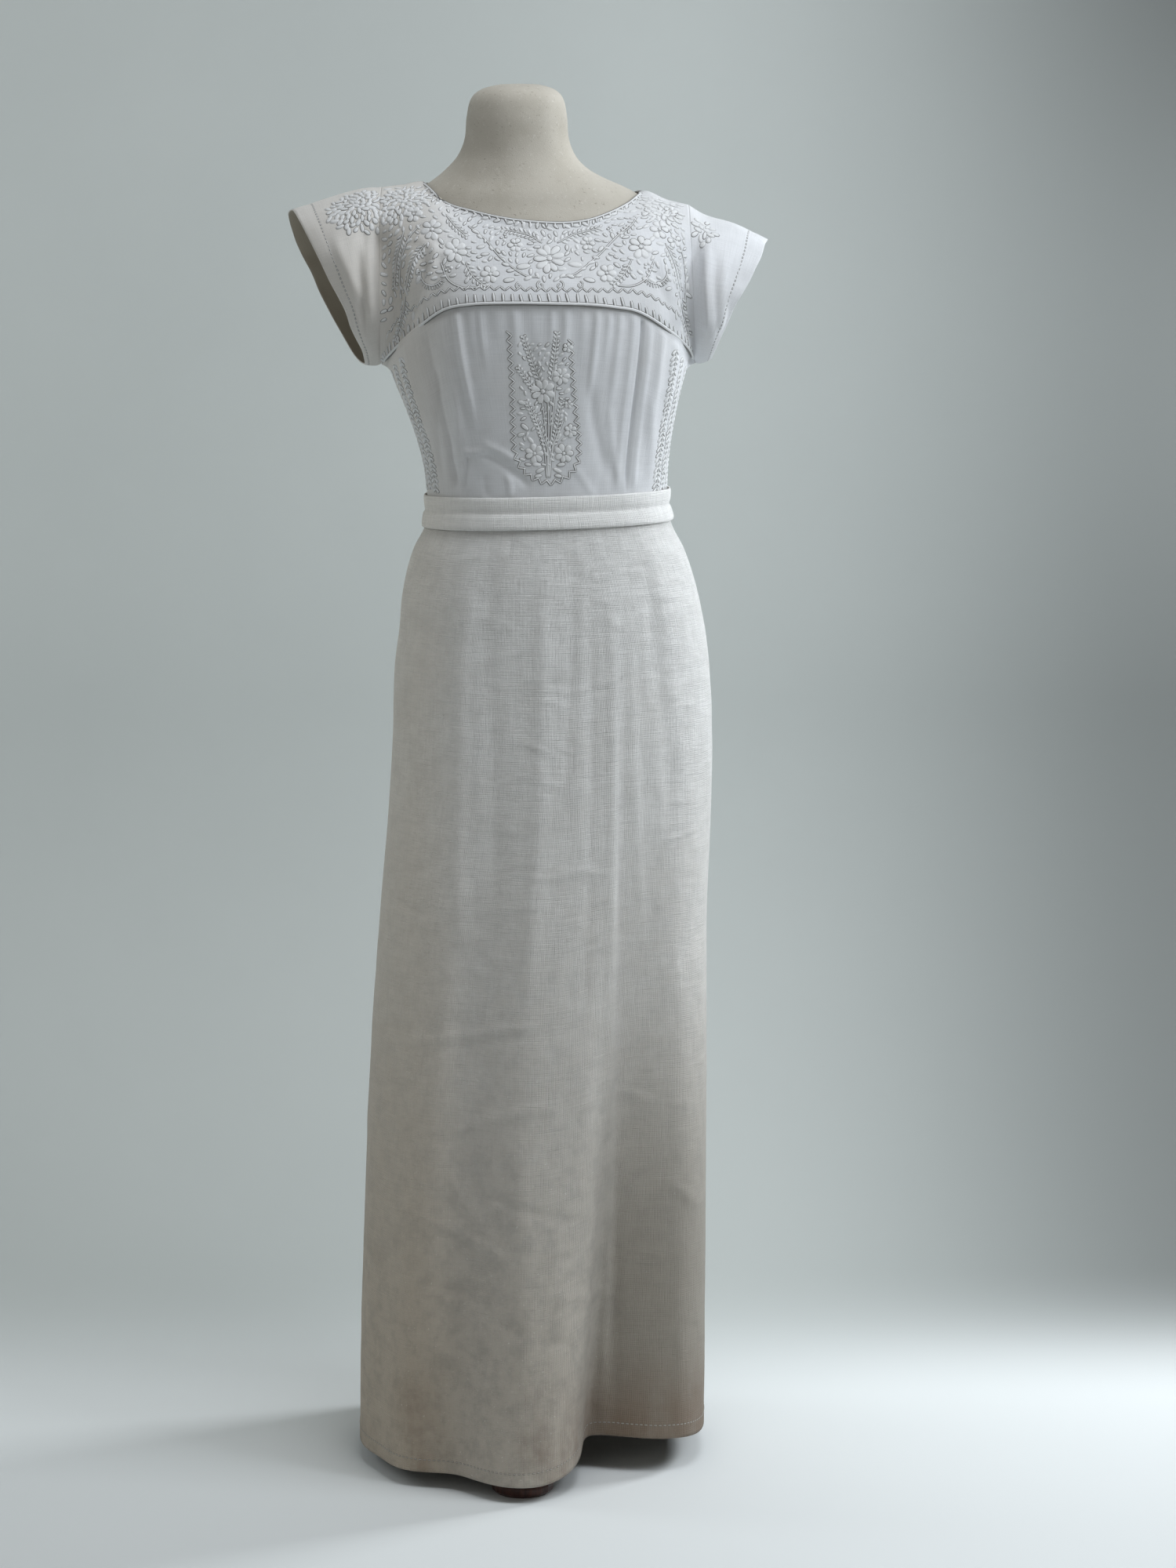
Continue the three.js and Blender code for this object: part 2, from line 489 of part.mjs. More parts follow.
function skirtGrid(angles) {
  const top = WAIST_SEAM_HEIGHT - SEAM_INSET;
  return SKIRT_DROPS.map((share) => angles.map((degrees) => {
    const hem = through(HEM_HEIGHTS, 'angle', degrees).z;
    return skirtPoint(THREE.MathUtils.degToRad(degrees), THREE.MathUtils.lerp(top, hem, share), hem);
  }));
}

// The band wraps the seam between bodice and skirt and follows the skirt's flare below it.
function waistbandGrid(columns) {
  return WAISTBAND_PROFILE.map((row) => range(columns).slice(0, -1).map((turn) => {
    const angle = Math.PI * (2 * turn - 1);
    const x = waistPoint(angle).x;
    const top = WAISTBAND.top + WAISTBAND.topTilt * x;
    const bottom = WAISTBAND.bottom + WAISTBAND.bottomTilt * x;
    const z = THREE.MathUtils.lerp(top, bottom, row.share);
    const section = through(SKIRT_SECTIONS, 'z', Math.min(z, WAIST_SEAM_HEIGHT));
    const point = sectionPoint(section, angle);
    point.addScaledVector(new THREE.Vector3(Math.cos(angle), Math.sin(angle), 0), row.out);
    return point.setZ(z);
  }));
}

// ---------------------------------------------------------------- form and stand

function formGeometry(columns) {
  const rings = FORM_SECTIONS.map((section) => range(columns).slice(0, -1)
    .map((turn) => sectionPoint(section, 2 * Math.PI * turn)));
  const positions = [];
  const put = (point) => {
    positions.push(point.x, point.y, point.z);
    return positions.length / 3 - 1;
  };
  const index = rings.map((ring) => ring.map(put));
  const middle = (ring, z) => {
    const sum = ring.reduce((total, point) => total.add(point), new THREE.Vector3());
    return sum.divideScalar(ring.length).setZ(z);
  };
  const crown = put(middle(rings[0], FORM_SECTIONS[0].z + CROWN_RISE));
  const base = put(middle(rings.at(-1), FORM_SECTIONS.at(-1).z));
  const triangles = [];
  for (let j = 0; j < columns; j += 1) {
    const next = (j + 1) % columns;
    triangles.push(crown, index[0][j], index[0][next]);
    for (let i = 0; i < index.length - 1; i += 1) {
      triangles.push(index[i][j], index[i + 1][j], index[i + 1][next]);
      triangles.push(index[i][j], index[i + 1][next], index[i][next]);
    }
    triangles.push(base, index.at(-1)[next], index.at(-1)[j]);
  }
  const geometry = new THREE.BufferGeometry();
  geometry.setAttribute('position', new THREE.Float32BufferAttribute(positions, 3));
  geometry.setIndex(triangles);
  return geometry;
}

// A turned piece: profile is radius and height pairs from the axis at the bottom
// to the axis at the top.
function turned(profile) {
  const outline = profile.map(([radius, height]) => new THREE.Vector2(radius, height));
  const geometry = new THREE.LatheGeometry(outline, TURNED_COLUMNS);
  geometry.rotateX(Math.PI / 2);
  geometry.deleteAttribute('normal');
  geometry.deleteAttribute('uv');
  return mergeVertices(geometry, 0.001);
}

const poleTop = FORM_SECTIONS.at(-1).z - COLLAR.height - 2 * SOLID_GAP;
const collarBottom = poleTop + SOLID_GAP;
const collarTop = collarBottom + COLLAR.height;
const collarProfile = [
  [0, collarBottom], [COLLAR.radius - COLLAR.edge, collarBottom], [COLLAR.radius, collarBottom + COLLAR.edge],
  [COLLAR.radius, collarTop - COLLAR.edge], [COLLAR.radius - COLLAR.edge, collarTop], [0, collarTop],
];
const poleProfile = [
  [0, HUB.top + SOLID_GAP], [POLE.radius, HUB.top + SOLID_GAP], [POLE.radius, poleTop], [0, poleTop],
];
const hubProfile = [
  [0, HUB.bottom], [HUB.radius - 6, HUB.bottom], [HUB.radius, HUB.bottom + 6],
  [HUB.radius, HUB.top - 10], [HUB.radius - 7, HUB.top], [0, HUB.top],
];
const footProfile = [
  [0, 0], [FOOT.radius - 5, 0], [FOOT.radius - 1.2, 4], [FOOT.radius, 10],
  [FOOT.radius - 2, 16.5], [FOOT.radius - 8, FOOT.height], [0, FOOT.height],
];

// A leg, sawn from a board: it leaves the hub level, curves down and ends flat on its foot.
function legGeometry() {
  const inner = HUB.radius + SOLID_GAP;
  const outer = FOOT.reach + LEG.halfEnd;
  const sole = FOOT.height + SOLID_GAP;
  const side = new THREE.Shape();
  side.moveTo(inner, LEG.bottom);
  side.lineTo(inner, LEG.top);
  side.bezierCurveTo(inner + 43, LEG.top - 8, outer - 87, LEG.endHeight + 46, outer, LEG.endHeight);
  side.lineTo(outer, sole);
  side.lineTo(FOOT.reach - LEG.halfEnd, sole);
  side.bezierCurveTo(outer - 83, sole + 12, inner + 43, LEG.bottom - 6, inner, LEG.bottom);
  const board = { depth: LEG.thickness, bevelEnabled: false, curveSegments: 10 };
  const geometry = new THREE.ExtrudeGeometry(side, board);
  geometry.translate(0, 0, -LEG.thickness / 2);
  geometry.rotateX(Math.PI / 2);
  return geometry;
}

// ---------------------------------------------------------------- assembly

const dress = new THREE.Group();
dress.name = 'dress_on_form';

function add(name, geometry, material, place = [0, 0, 0], turn = 0) {
  const mesh = new THREE.Mesh(geometry, material);
  mesh.name = name;
  mesh.position.set(...place);
  mesh.rotation.z = THREE.MathUtils.degToRad(turn);
  dress.add(mesh);
}

// The places of a yoke's columns, so many to each span of its table.
const spread = (columns) => [0, ...columns.flatMap((count, span) => range(count).slice(1)
  .map((t) => (span + t) / columns.length))];
for (const [name, yoke] of [['yoke_front', FRONT_YOKE], ['yoke_back', BACK_YOKE]]) {
  const grid = trimmed(yokeGrid(yoke, spread(yoke.columns)), ['top'], SHOULDER_INSET);
  add(name, clothWall(trimmed(grid, ['start', 'end'], CORNER_INSET), COTTON_WALL), cotton);
}

const leftSleeve = trimmed(sleeveGrid(LEFT_SLEEVE_RINGS, -1), ['top'], CORNER_INSET);
const rightSleeve = trimmed(sleeveGrid(RIGHT_SLEEVE_RINGS, 1), ['top'], CORNER_INSET);
add('sleeve_left', clothWall(leftSleeve, COTTON_WALL, true), sleeveCotton);
add('sleeve_right', clothWall(rightSleeve, COTTON_WALL, true), sleeveCotton);

// A bodice's columns crowd where it is gathered.
function gatherColumns({ from, to, count }) {
  const gathered = range(count).map((t) => THREE.MathUtils.lerp(from, to, t));
  return [0, 0.04, 0.08, ...gathered, 0.92, 0.96, 1];
}
const backFolds = range(BACK_GATHERS.count - 1).map((t) => ({
  at: THREE.MathUtils.lerp(BACK_GATHERS.first, BACK_GATHERS.last, t),
  width: BACK_GATHERS.width,
  depth: BACK_GATHERS.depth,
  from: -0.1,
  to: BACK_GATHERS.length,
}));
const frontBodice = bodiceGrid(FRONT_YOKE, FRONT_BODICE_FOLDS, gatherColumns(FRONT_GATHER_COLUMNS));
const backBodice = bodiceGrid(BACK_YOKE, backFolds, gatherColumns(BACK_GATHER_COLUMNS));
for (const [name, grid] of [['bodice_front', frontBodice], ['bodice_back', backBodice]]) {
  add(name, clothWall(trimmed(grid, ['bottom', 'start', 'end'], SEAM_INSET), COTTON_WALL), cotton);
}

add('waistband', clothWall(waistbandGrid(BAND_COLUMNS), LINEN_WALL, true), linen);

// The front skirt's columns, in degrees, crowd at the deep flute.
const skirtFrontAngles = [
  ...range(21).map((t) => -180 + 95 * t), ...range(19).map((t) => -82 + 57 * t), -20, -15, -10, -5, 0,
];
const skirtBackAngles = range(30).map((t) => 180 * t);
for (const [name, angles] of [['skirt_front', skirtFrontAngles], ['skirt_back', skirtBackAngles]]) {
  add(name, clothWall(trimmed(skirtGrid(angles), ['start', 'end'], SEAM_INSET), LINEN_WALL), linen);
}

const polePlace = [POLE.x, POLE.y, 0];
add('form_torso', formGeometry(FORM_COLUMNS), canvas);
add('stand_collar', turned(collarProfile), darkWood, polePlace);
add('stand_pole', turned(poleProfile), darkWood, polePlace);
add('stand_hub', turned(hubProfile), darkWood, polePlace);
for (const [name, degrees] of Object.entries(LEG_ANGLES)) {
  const angle = THREE.MathUtils.degToRad(degrees);
  const foot = [POLE.x + FOOT.reach * Math.cos(angle), POLE.y + FOOT.reach * Math.sin(angle), 0];
  add(`leg_${name}`, legGeometry(), darkWood, polePlace, degrees);
  add(`foot_${name}`, turned(footProfile), darkWood, foot);
}

// The origin is the middle of the whole part, on the floor.
const bounds = new THREE.Box3().setFromObject(dress);
dress.position.set(-(bounds.min.x + bounds.max.x) / 2, -(bounds.min.y + bounds.max.y) / 2, -bounds.min.z);

export default dress;
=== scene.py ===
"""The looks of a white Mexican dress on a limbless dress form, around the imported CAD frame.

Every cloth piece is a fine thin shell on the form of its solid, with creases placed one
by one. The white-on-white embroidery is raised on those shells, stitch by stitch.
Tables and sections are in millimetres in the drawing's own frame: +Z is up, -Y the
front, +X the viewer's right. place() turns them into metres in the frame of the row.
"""

import math
import random

import bpy
import numpy as np
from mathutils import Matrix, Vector
from mathutils.bvhtree import BVHTree


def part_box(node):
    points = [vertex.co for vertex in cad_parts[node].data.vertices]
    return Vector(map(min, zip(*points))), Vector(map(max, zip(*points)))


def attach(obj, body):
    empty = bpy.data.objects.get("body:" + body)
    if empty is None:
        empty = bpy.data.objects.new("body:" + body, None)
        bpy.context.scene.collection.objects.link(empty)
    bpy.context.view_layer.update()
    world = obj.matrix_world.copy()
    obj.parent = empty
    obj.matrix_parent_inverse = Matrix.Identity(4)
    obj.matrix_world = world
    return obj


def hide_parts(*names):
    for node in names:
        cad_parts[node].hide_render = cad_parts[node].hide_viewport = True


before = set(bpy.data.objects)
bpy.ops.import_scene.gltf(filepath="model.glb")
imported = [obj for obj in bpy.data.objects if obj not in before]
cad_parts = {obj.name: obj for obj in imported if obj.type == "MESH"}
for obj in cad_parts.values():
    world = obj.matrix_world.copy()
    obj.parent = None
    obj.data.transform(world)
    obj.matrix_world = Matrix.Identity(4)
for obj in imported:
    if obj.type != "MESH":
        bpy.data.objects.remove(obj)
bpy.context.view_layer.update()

# ---------------- driving sizes, mm

MM = 0.001
COTTON_WALL = 1.6
LINEN_WALL = 1.8
SEAM_INSET = 0.2           # how far an edge stops short of its seam
SEAT_GAP = 1.1             # how far the yoke lies clear of the form
WAIST_SEAM_HEIGHT = 1055
TUCK_GAP = 0.3             # how far the bodice's edge lies behind the yoke's
TUCK_HEIGHT = 5            # how far it reaches up behind it
UNDERARM_GAP = 1.6
CROWN_RISE = 0.9           # how far the form's top is domed
SLEEVE_HEM = 15
SKIRT_HEM = 18
HEM_LEDGE = 0.5            # how far a turned hem stands out from the single cloth
POLE = {"x": -12, "y": -5}     # the middle of the stand's pole, in the drawing's frame

# ---------------- tables of the form


def number_rows(text):
    """The numbers in each line of a text."""
    return [[float(word) for word in line.split()] for line in text.strip().splitlines()]


def table(names, text):
    """A table of numbers as one array for each named column."""
    return dict(zip(names.split(), np.array(number_rows(text)).T))


def paths(text):
    """A path of places (u, v) of a design for each line of a text."""
    return [list(zip(row[::2], row[1::2])) for row in number_rows(text)]


FORM_SECTIONS = table("z left right front back power", """
    1504.6 -52 -10 -32 10 2.0
    1501 -68 4 -46 26 2.0
    1492 -81 15 -56 38 2.1
    1472 -87 20 -59 44 2.1
    1448 -89.5 22 -57 52 2.1
    1430 -97 29 -56 58 2.0
    1417 -108.5 41 -57 63 2.0
    1407 -120 58 -59 67 2.0
    1398.5 -132.5 78 -62 71 2.0
    1389 -146 96.5 -66 74.5 2.0
    1375 -160 114.5 -70 76.5 2.0
    1358 -172 133 -77 81 2.0
    1335 -178 144 -85 85 2.0
    1300 -176 149 -97 91 2.1
    1262 -164 140 -107 94 2.2
    1225 -154 134 -113 97 2.2
    1190 -145 126 -109 93 2.2
    1150 -137 121 -101 88 2.2
    1110 -130 119 -95 84 2.2
    1060 -126 121 -93 83 2.2
    1010 -134 133 -99 92 2.2
    960 -147 148 -105 106 2.2
    900 -156 161 -109 119 2.2
    840 -156 163 -109 121 2.2
    806 -150 157 -104 115 2.2
    796 -141 148 -96 107 2.2
""")

# The front yoke, from the viewer's left armhole to the right one. Each row hangs from
# (top_x, top_z) to its seam; lean, drop, swell and rise aim the curve between them.
YOKE_COLUMNS = "top_x top_z seam_x seam_y seam_z lean drop swell rise"
FRONT_YOKE = table(YOKE_COLUMNS, """
    -178.6 1396 -180 0 1209.5 92 8 92 8
    -156 1398.5 -167 -50 1221 96 14 34 44
    -131.5 1401 -143 -87 1243 100 22 13 52
    -106.8 1380.6 -111 -111 1267 94 26 2 44
    -79.5 1372 -80 -124 1274 90 28 -4 36
    -40 1363.6 -38 -131 1275.5 92 28 -6 32
    5 1359.6 6 -133 1275 93 28 -6 30
    37.5 1361.6 42 -131 1274 90 28 -6 32
    61.6 1369 72 -125 1271 87 28 -4 36
    82.3 1379 96 -115 1266 87 26 2 44
    101.9 1392 123 -97 1249.5 94 22 13 52
    126 1383 147 -56 1228 95 14 33 44
    150 1377 158 0 1211 88 8 88 8
""")
BACK_YOKE = table(YOKE_COLUMNS, """
    150 1377 158 0 1211 92 8 92 8
    126 1383 147 53 1228 97 14 36 44
    101.9 1392 118 86 1248 98 22 16 52
    74 1387 78 104 1262 89 34 8 46
    24 1383 26 112 1266 92 36 4 42
    -44 1384 -40 112 1266 95 36 4 42
    -98 1389 -96 104 1262 93 34 8 46
    -131.5 1401 -139 84 1246 98 22 16 52
    -156 1398.5 -166 50 1222 97 14 36 44
    -178.6 1396 -180 0 1209.5 92 8 92 8
""")
# side is -1 in front; the rows from neck[0] to neck[1] start on the neckline
FRONT = {"yoke": FRONT_YOKE, "side": -1, "neck": (2, 10)}
BACK = {"yoke": BACK_YOKE, "side": 1, "neck": (2, 7)}

SLEEVE_COLUMNS = "top_x top_z low_x low_z front back drop front_x back_x"
LEFT_SLEEVE = table(SLEEVE_COLUMNS, """
    -178.6 1396 -180 1209.5 92 92 8 0 0
    -200 1394.2 -184 1207.5 96 96 8 4 -2
    -238 1384 -191 1207.5 93 90 7 10 -12
    -276 1371 -199.5 1209.5 80 82 6 14 -22
""")
RIGHT_SLEEVE = table(SLEEVE_COLUMNS, """
    150 1377 158 1211 88 92 8 0 0
    170 1365.5 162 1209.5 93 95 8 2 0
    202 1357 168 1211 88 90 7 1 -6
    235 1341.5 174 1214 76 78 6 -2 -14
""")

# Folds of the bodice, at a share of its width, between two shares of its drop.
FOLD_COLUMNS = "at width depth start end"
FRONT_FOLDS = table(FOLD_COLUMNS, """
    0.135 8 1.4 0.0 0.62
    0.200 8 -4.0 0.12 1.3
    0.245 9 1.6 0.0 1.3
    0.292 6 3.4 -0.1 0.66
    0.330 5 0.9 -0.1 0.36
    0.352 4 1.3 -0.1 0.44
    0.388 6 1.0 -0.1 0.33
    0.424 5 1.5 -0.1 0.40
    0.462 6 0.8 -0.1 0.34
    0.498 4 1.2 -0.1 0.36
    0.531 5 1.5 -0.1 0.42
    0.575 6 0.9 -0.1 0.38
    0.612 5 1.6 -0.1 0.58
    0.648 5 1.2 -0.1 0.40
    0.684 7 1.4 -0.1 0.66
    0.735 7 1.8 -0.1 1.3
    0.764 3 -3.4 0.0 1.3
    0.788 6 1.7 -0.1 1.3
    0.832 7 1.5 0.0 0.74
    0.880 7 1.4 0.0 0.60
""")
BACK_FOLDS = table(FOLD_COLUMNS, """
    0.15 7 1.3 -0.1 0.60
    0.19 5 1.8 -0.1 0.46
    0.24 6 1.2 -0.1 0.72
    0.28 5 1.6 -0.1 0.40
    0.33 6 2.0 -0.1 0.55
    0.37 5 1.0 -0.1 0.38
    0.42 7 1.5 -0.1 0.62
    0.46 5 1.2 -0.1 0.35
    0.51 6 1.9 -0.1 0.50
    0.55 5 1.3 -0.1 0.42
    0.60 7 1.6 -0.1 0.66
    0.65 5 1.0 -0.1 0.36
    0.69 6 1.8 -0.1 0.58
    0.74 6 1.3 -0.1 0.44
    0.79 7 1.7 -0.1 0.70
    0.85 6 1.2 -0.1 0.50
""")
BODICE_WIDTH = 380
UNDERARM_CURVE = 30
BODICE_FALL = {"below": 58, "above_waist": 72, "underarm": 12}

SKIRT_SECTIONS = table("z left right front back power", """
    1056 -130.5 127 -100.5 90 2.2
    1034 -133 132.6 -103 94 2.2
    1007 -146.6 146.4 -108 104 2.2
    967 -157.1 159.4 -114 117 2.2
    920 -162.4 169.2 -119 130 2.2
    877 -168 174.3 -123 138 2.2
    800 -170.6 177.4 -132 146 2.2
    712 -176.4 176.2 -143 156 2.2
    610 -185.4 172.6 -156 166 2.25
    500 -193.6 172.7 -168 176 2.25
    380 -200.6 172.9 -180 185 2.3
    240 -206 172.5 -191 193 2.3
    100 -210.6 171.6 -199 199 2.3
    18 -211.6 171 -203 202 2.3
""")

# The flutes: angles in degrees round from +X, depth at the hem, inward when positive.
SKIRT_FLUTES = table("hem_angle top_angle spread depth start power", """
    -117 -112 9 25 985 1.3
    -92 -94 7 -9 900 1.2
    -56.4 -49 12.5 97 975 1.75
    -147 -143 8 7 900 1.0
    64 58 12 26 900 1.3
    104 100 11 20 860 1.3
    138 134 10 -6 860 1.2
""")
HEM_HEIGHTS = table("angle z", """
    -180 18
    -88 18
    -66 31
    -50 40
    -35 39
    -14 33
    30 28
    100 24
    180 18
""")
WAISTBAND = {"top": 1071.5, "bottom": 1037.5, "top_tilt": 0.027, "bottom_tilt": 0.029}
WAISTBAND_PROFILE = table("share out", """
    0.0 3.0
    0.06 3.9
    0.30 3.7
    0.47 2.5
    0.52 2.6
    0.60 4.1
    0.80 4.9
    0.94 4.6
    1.0 3.4
""")

# ---------------- tables of creases, mm

# Soft creases of the skirt: from one height to another at places across the front view,
# bell-shaped across, outward when positive.
CREASE_COLUMNS = "x_top z_top x_low z_low width depth"
SKIRT_FRONT_CREASES = table(CREASE_COLUMNS, """
    -78 1015 -98 560 13 2.2
    -52 1020 -66 640 14 -1.3
    -12 1025 -20 480 15 2.4
    20 1020 22 700 10 -1.6
    69 1010 55 20 10 3.9
    85 900 69 20 11 -3.0
    44 990 38 500 9 -1.8
    112 1015 126 700 13 -2.2
    92 980 98 560 9 1.6
    -118 1000 -136 600 12 -1.8
    -146 1010 -168 880 8 1.6
    -104 620 -122 90 17 2.4
    -20 420 -34 60 16 2.0
    -166 640 -120 622 5 -1.4
    -168 478 2 524 6 1.3
    -150 468 12 512 7 -0.8
    -120 392 20 430 8 1.7
    -92 338 54 300 8 -1.6
    -150 300 -30 262 8 1.7
    -110 356 -60 288 8 1.3
    -40 352 -4 398 8 1.4
    -140 236 -70 214 9 -1.4
    -20 236 70 196 8 1.3
    -70 205 40 150 9 -1.1
    -150 162 -30 120 8 1.1
    138 560 170 600 8 -1.6
    120 330 168 290 9 1.4
    60 880 150 905 12 -0.9
""")
SKIRT_BACK_CREASES = table(CREASE_COLUMNS, """
    -60 1010 -72 520 13 2.4
    -24 1015 -30 600 11 -2.0
    14 1020 12 420 14 2.2
    48 1015 56 620 10 -1.8
    88 1005 104 480 13 2.2
    -104 1000 -128 620 12 -1.8
    -150 500 40 462 6 1.8
    -40 380 150 430 7 -1.4
    -120 260 60 230 8 1.3
    20 170 140 210 8 -1.1
""")
BODICE_FRONT_CREASES = table(CREASE_COLUMNS, """
    -87 1120 -87 1075 3 -1.8
    -92 1116 -62 1124 4 2.0
    -76 1124 -18 1078 6 -1.7
    -70 1132 -30 1104 5 1.6
    -44 1096 -41 1070 5 1.3
    -66 1096 -62 1070 5 -1.0
    -116 1215 -112 1075 6 -1.9
    -14 1250 -10 1130 10 -1.2
    48 1200 60 1085 9 -1.6
    66 1170 78 1080 6 1.0
    -100 1200 -97 1090 6 1.3
    112 1190 104 1080 7 1.2
    20 1105 52 1074 6 0.8
""")
BODICE_BACK_CREASES = table(CREASE_COLUMNS, """
    -80 1150 -60 1070 7 -2.0
    -30 1180 -36 1075 9 1.6
    24 1190 30 1075 8 -1.6
    84 1150 66 1070 7 2.0
    -10 1120 60 1085 7 1.4
""")
YOKE_FRONT_CREASES = table(CREASE_COLUMNS, """
    -143 1338 -150 1228 9 4.0
    -131 1330 -145 1238 7 -3.2
    -119 1342 -134 1262 6 2.6
    -158 1320 -162 1232 5 1.8
    -140 1352 -104 1318 7 1.4
    124 1336 135 1240 9 2.4
    112 1320 124 1262 7 -1.8
    140 1330 147 1238 5 -2.4
""")
YOKE_BACK_CREASES = table(CREASE_COLUMNS, """
    -136 1350 -146 1244 8 2.0
    118 1340 128 1250 8 1.8
""")
# The hollow at each armhole, which the yoke and the sleeve share
ARMHOLE_HOLLOWS = table(CREASE_COLUMNS, """
    -177 1366 -170 1218 27 13
    153 1352 155 1222 18 10
""")
BACK_HOLLOW_SHARE = 0.35   # how deep the hollows are at the back, as a share of the front's
SLEEVE_FRONT_CREASES = table(CREASE_COLUMNS, """
    -194 1362 -187 1228 7 3.6
    -205 1340 -186 1240 8 -3.6
    -222 1350 -194 1262 8 2.0
    -250 1330 -214 1250 7 -1.6
    174 1344 170 1232 7 3.4
    192 1330 184 1236 8 2.8
    208 1310 190 1240 6 -1.8
    222 1290 190 1222 4 2.0
    214 1282 184 1222 4 -2.0
    200 1268 180 1226 4 1.6
    168 1336 166 1240 4 2.4
""")
SLEEVE_BACK_CREASES = table(CREASE_COLUMNS, """
    -206 1340 -188 1240 9 -2.8
    -232 1346 -200 1256 8 1.8
    176 1334 168 1228 9 -3.2
    200 1320 186 1236 8 2.0
""")

# ---------------- interpolation


def through(columns, key, at):
    """Every column of a table at places along its key, on smooth curves."""
    keys = columns[key]
    rising = keys[-1] > keys[0]
    order = np.arange(len(keys)) if rising else np.arange(len(keys))[::-1]
    keys = keys[order]
    at = np.clip(np.asarray(at, float), keys[0], keys[-1])
    last = len(keys) - 1
    index = np.clip(np.searchsorted(keys, at, side="left") - 1, 0, last - 1)
    before = np.maximum(index - 1, 0)
    after = np.minimum(index + 2, last)
    span = keys[index + 1] - keys[index]
    share = (at - keys[index]) / span
    square = share * share
    cube = square * share
    found = {}
    for name, column in columns.items():
        values = column[order]
        start = (values[index + 1] - values[before]) / (keys[index + 1] - keys[before]) * span
        end = (values[after] - values[index]) / (keys[after] - keys[index]) * span
        found[name] = (values[index] * (2 * cube - 3 * square + 1)
                       + values[index + 1] * (3 * square - 2 * cube)
                       + start * (cube - 2 * square + share) + end * (cube - square))
    return found


def numbered(columns):
    """The table with a column "share" that counts its rows from 0 to 1."""
    return {**columns, "share": even(len(next(iter(columns.values()))))}


def smoothstep(x, low, high):
    share = np.clip((np.asarray(x, float) - low) / (high - low), 0, 1)
    return share * share * (3 - 2 * share)


def bell(distance, spread):
    return np.exp(-0.5 * (distance / spread) ** 2)


def lerp(a, b, share):
    return a + (b - a) * share


def even(count):
    """Shares from 0 to 1, evenly spaced."""
    return np.linspace(0, 1, count)


def run_along(points):
    """The length along a line of points, up to each of them."""
    return np.concatenate([[0], np.cumsum(np.linalg.norm(np.diff(points, axis=0), axis=1))])


def sampled(at, along, values):
    """Values at lengths along a line."""
    return np.stack([np.interp(at, along, column) for column in values.T], axis=1)


def vector(x, y, z):
    return np.stack(np.broadcast_arrays(x, y, z), axis=-1).astype(float)


def bezier(points, share):
    """Points of a cubic curve. Each control point is (..., 3) and share broadcasts against it."""
    share = np.asarray(share)[..., None]
    rest = 1 - share
    return (rest ** 3 * points[0] + 3 * rest ** 2 * share * points[1]
            + 3 * rest * share ** 2 * points[2] + share ** 3 * points[3])


def unit(vectors):
    return vectors / np.maximum(np.linalg.norm(vectors, axis=-1, keepdims=True), 1e-12)


def soft_noise(x, y, seed):
    """Smooth noise from -1 to 1 with features one unit wide."""
    values = np.random.default_rng(seed).uniform(-1, 1, (64, 64))
    column = np.floor(x).astype(int)
    row = np.floor(y).astype(int)
    across = smoothstep(x - column, 0, 1)
    up = smoothstep(y - row, 0, 1)
    corner = [[values[(row + j) % 64, (column + i) % 64] for i in (0, 1)] for j in (0, 1)]
    return lerp(lerp(corner[0][0], corner[0][1], across), lerp(corner[1][0], corner[1][1], across), up)


# ---------------- sections


def section_middle(section):
    return (section["left"] + section["right"]) / 2, (section["front"] + section["back"]) / 2


def section_reach(section, angle):
    half_x = (section["right"] - section["left"]) / 2
    half_y = (section["back"] - section["front"]) / 2
    power = section["power"]
    return (abs(np.cos(angle) / half_x) ** power + abs(np.sin(angle) / half_y) ** power) ** (-1 / power)


def section_point(section, angle):
    reach = section_reach(section, angle)
    middle_x, middle_y = section_middle(section)
    return vector(middle_x + reach * np.cos(angle), middle_y + reach * np.sin(angle), section["z"])


def form_depth(x, z, side):
    """How far forward or back the form reaches at a place of the front view."""
    section = through(FORM_SECTIONS, "z", z)
    middle_x, middle_y = section_middle(section)
    across = np.minimum(abs(x - middle_x) / ((section["right"] - section["left"]) / 2), 1)
    half = (section["back"] - section["front"]) / 2
    return middle_y + side * half * (1 - across ** section["power"]) ** (1 / section["power"])


def clear_of_form(points, clearance):
    """The points moved straight outward until they lie clear of the form."""
    section = through(FORM_SECTIONS, "z", points[..., 2])
    middle_x, middle_y = section_middle(section)
    from_x = points[..., 0] - middle_x
    from_y = points[..., 1] - middle_y
    angle = np.arctan2(from_y, from_x)
    reach = section_reach(section, angle)
    flare = (section_reach(through(FORM_SECTIONS, "z", points[..., 2] - 2), angle) - reach) / 2
    needed = reach + clearance * np.hypot(1, flare)
    length = np.maximum(np.hypot(from_x, from_y), needed)
    return vector(middle_x + length * np.cos(angle), middle_y + length * np.sin(angle), points[..., 2])


# ---------------- grids of cloth
# A grid is (rows, columns, 3): rows from the top edge down, columns round the garment.


def surface_normals(grid, closed=False):
    along_column = np.gradient(grid, axis=0)
    if closed:
        along_row = np.roll(grid, -1, axis=1) - np.roll(grid, 1, axis=1)
    else:
        along_row = np.gradient(grid, axis=1)
    return unit(np.cross(along_column, along_row))


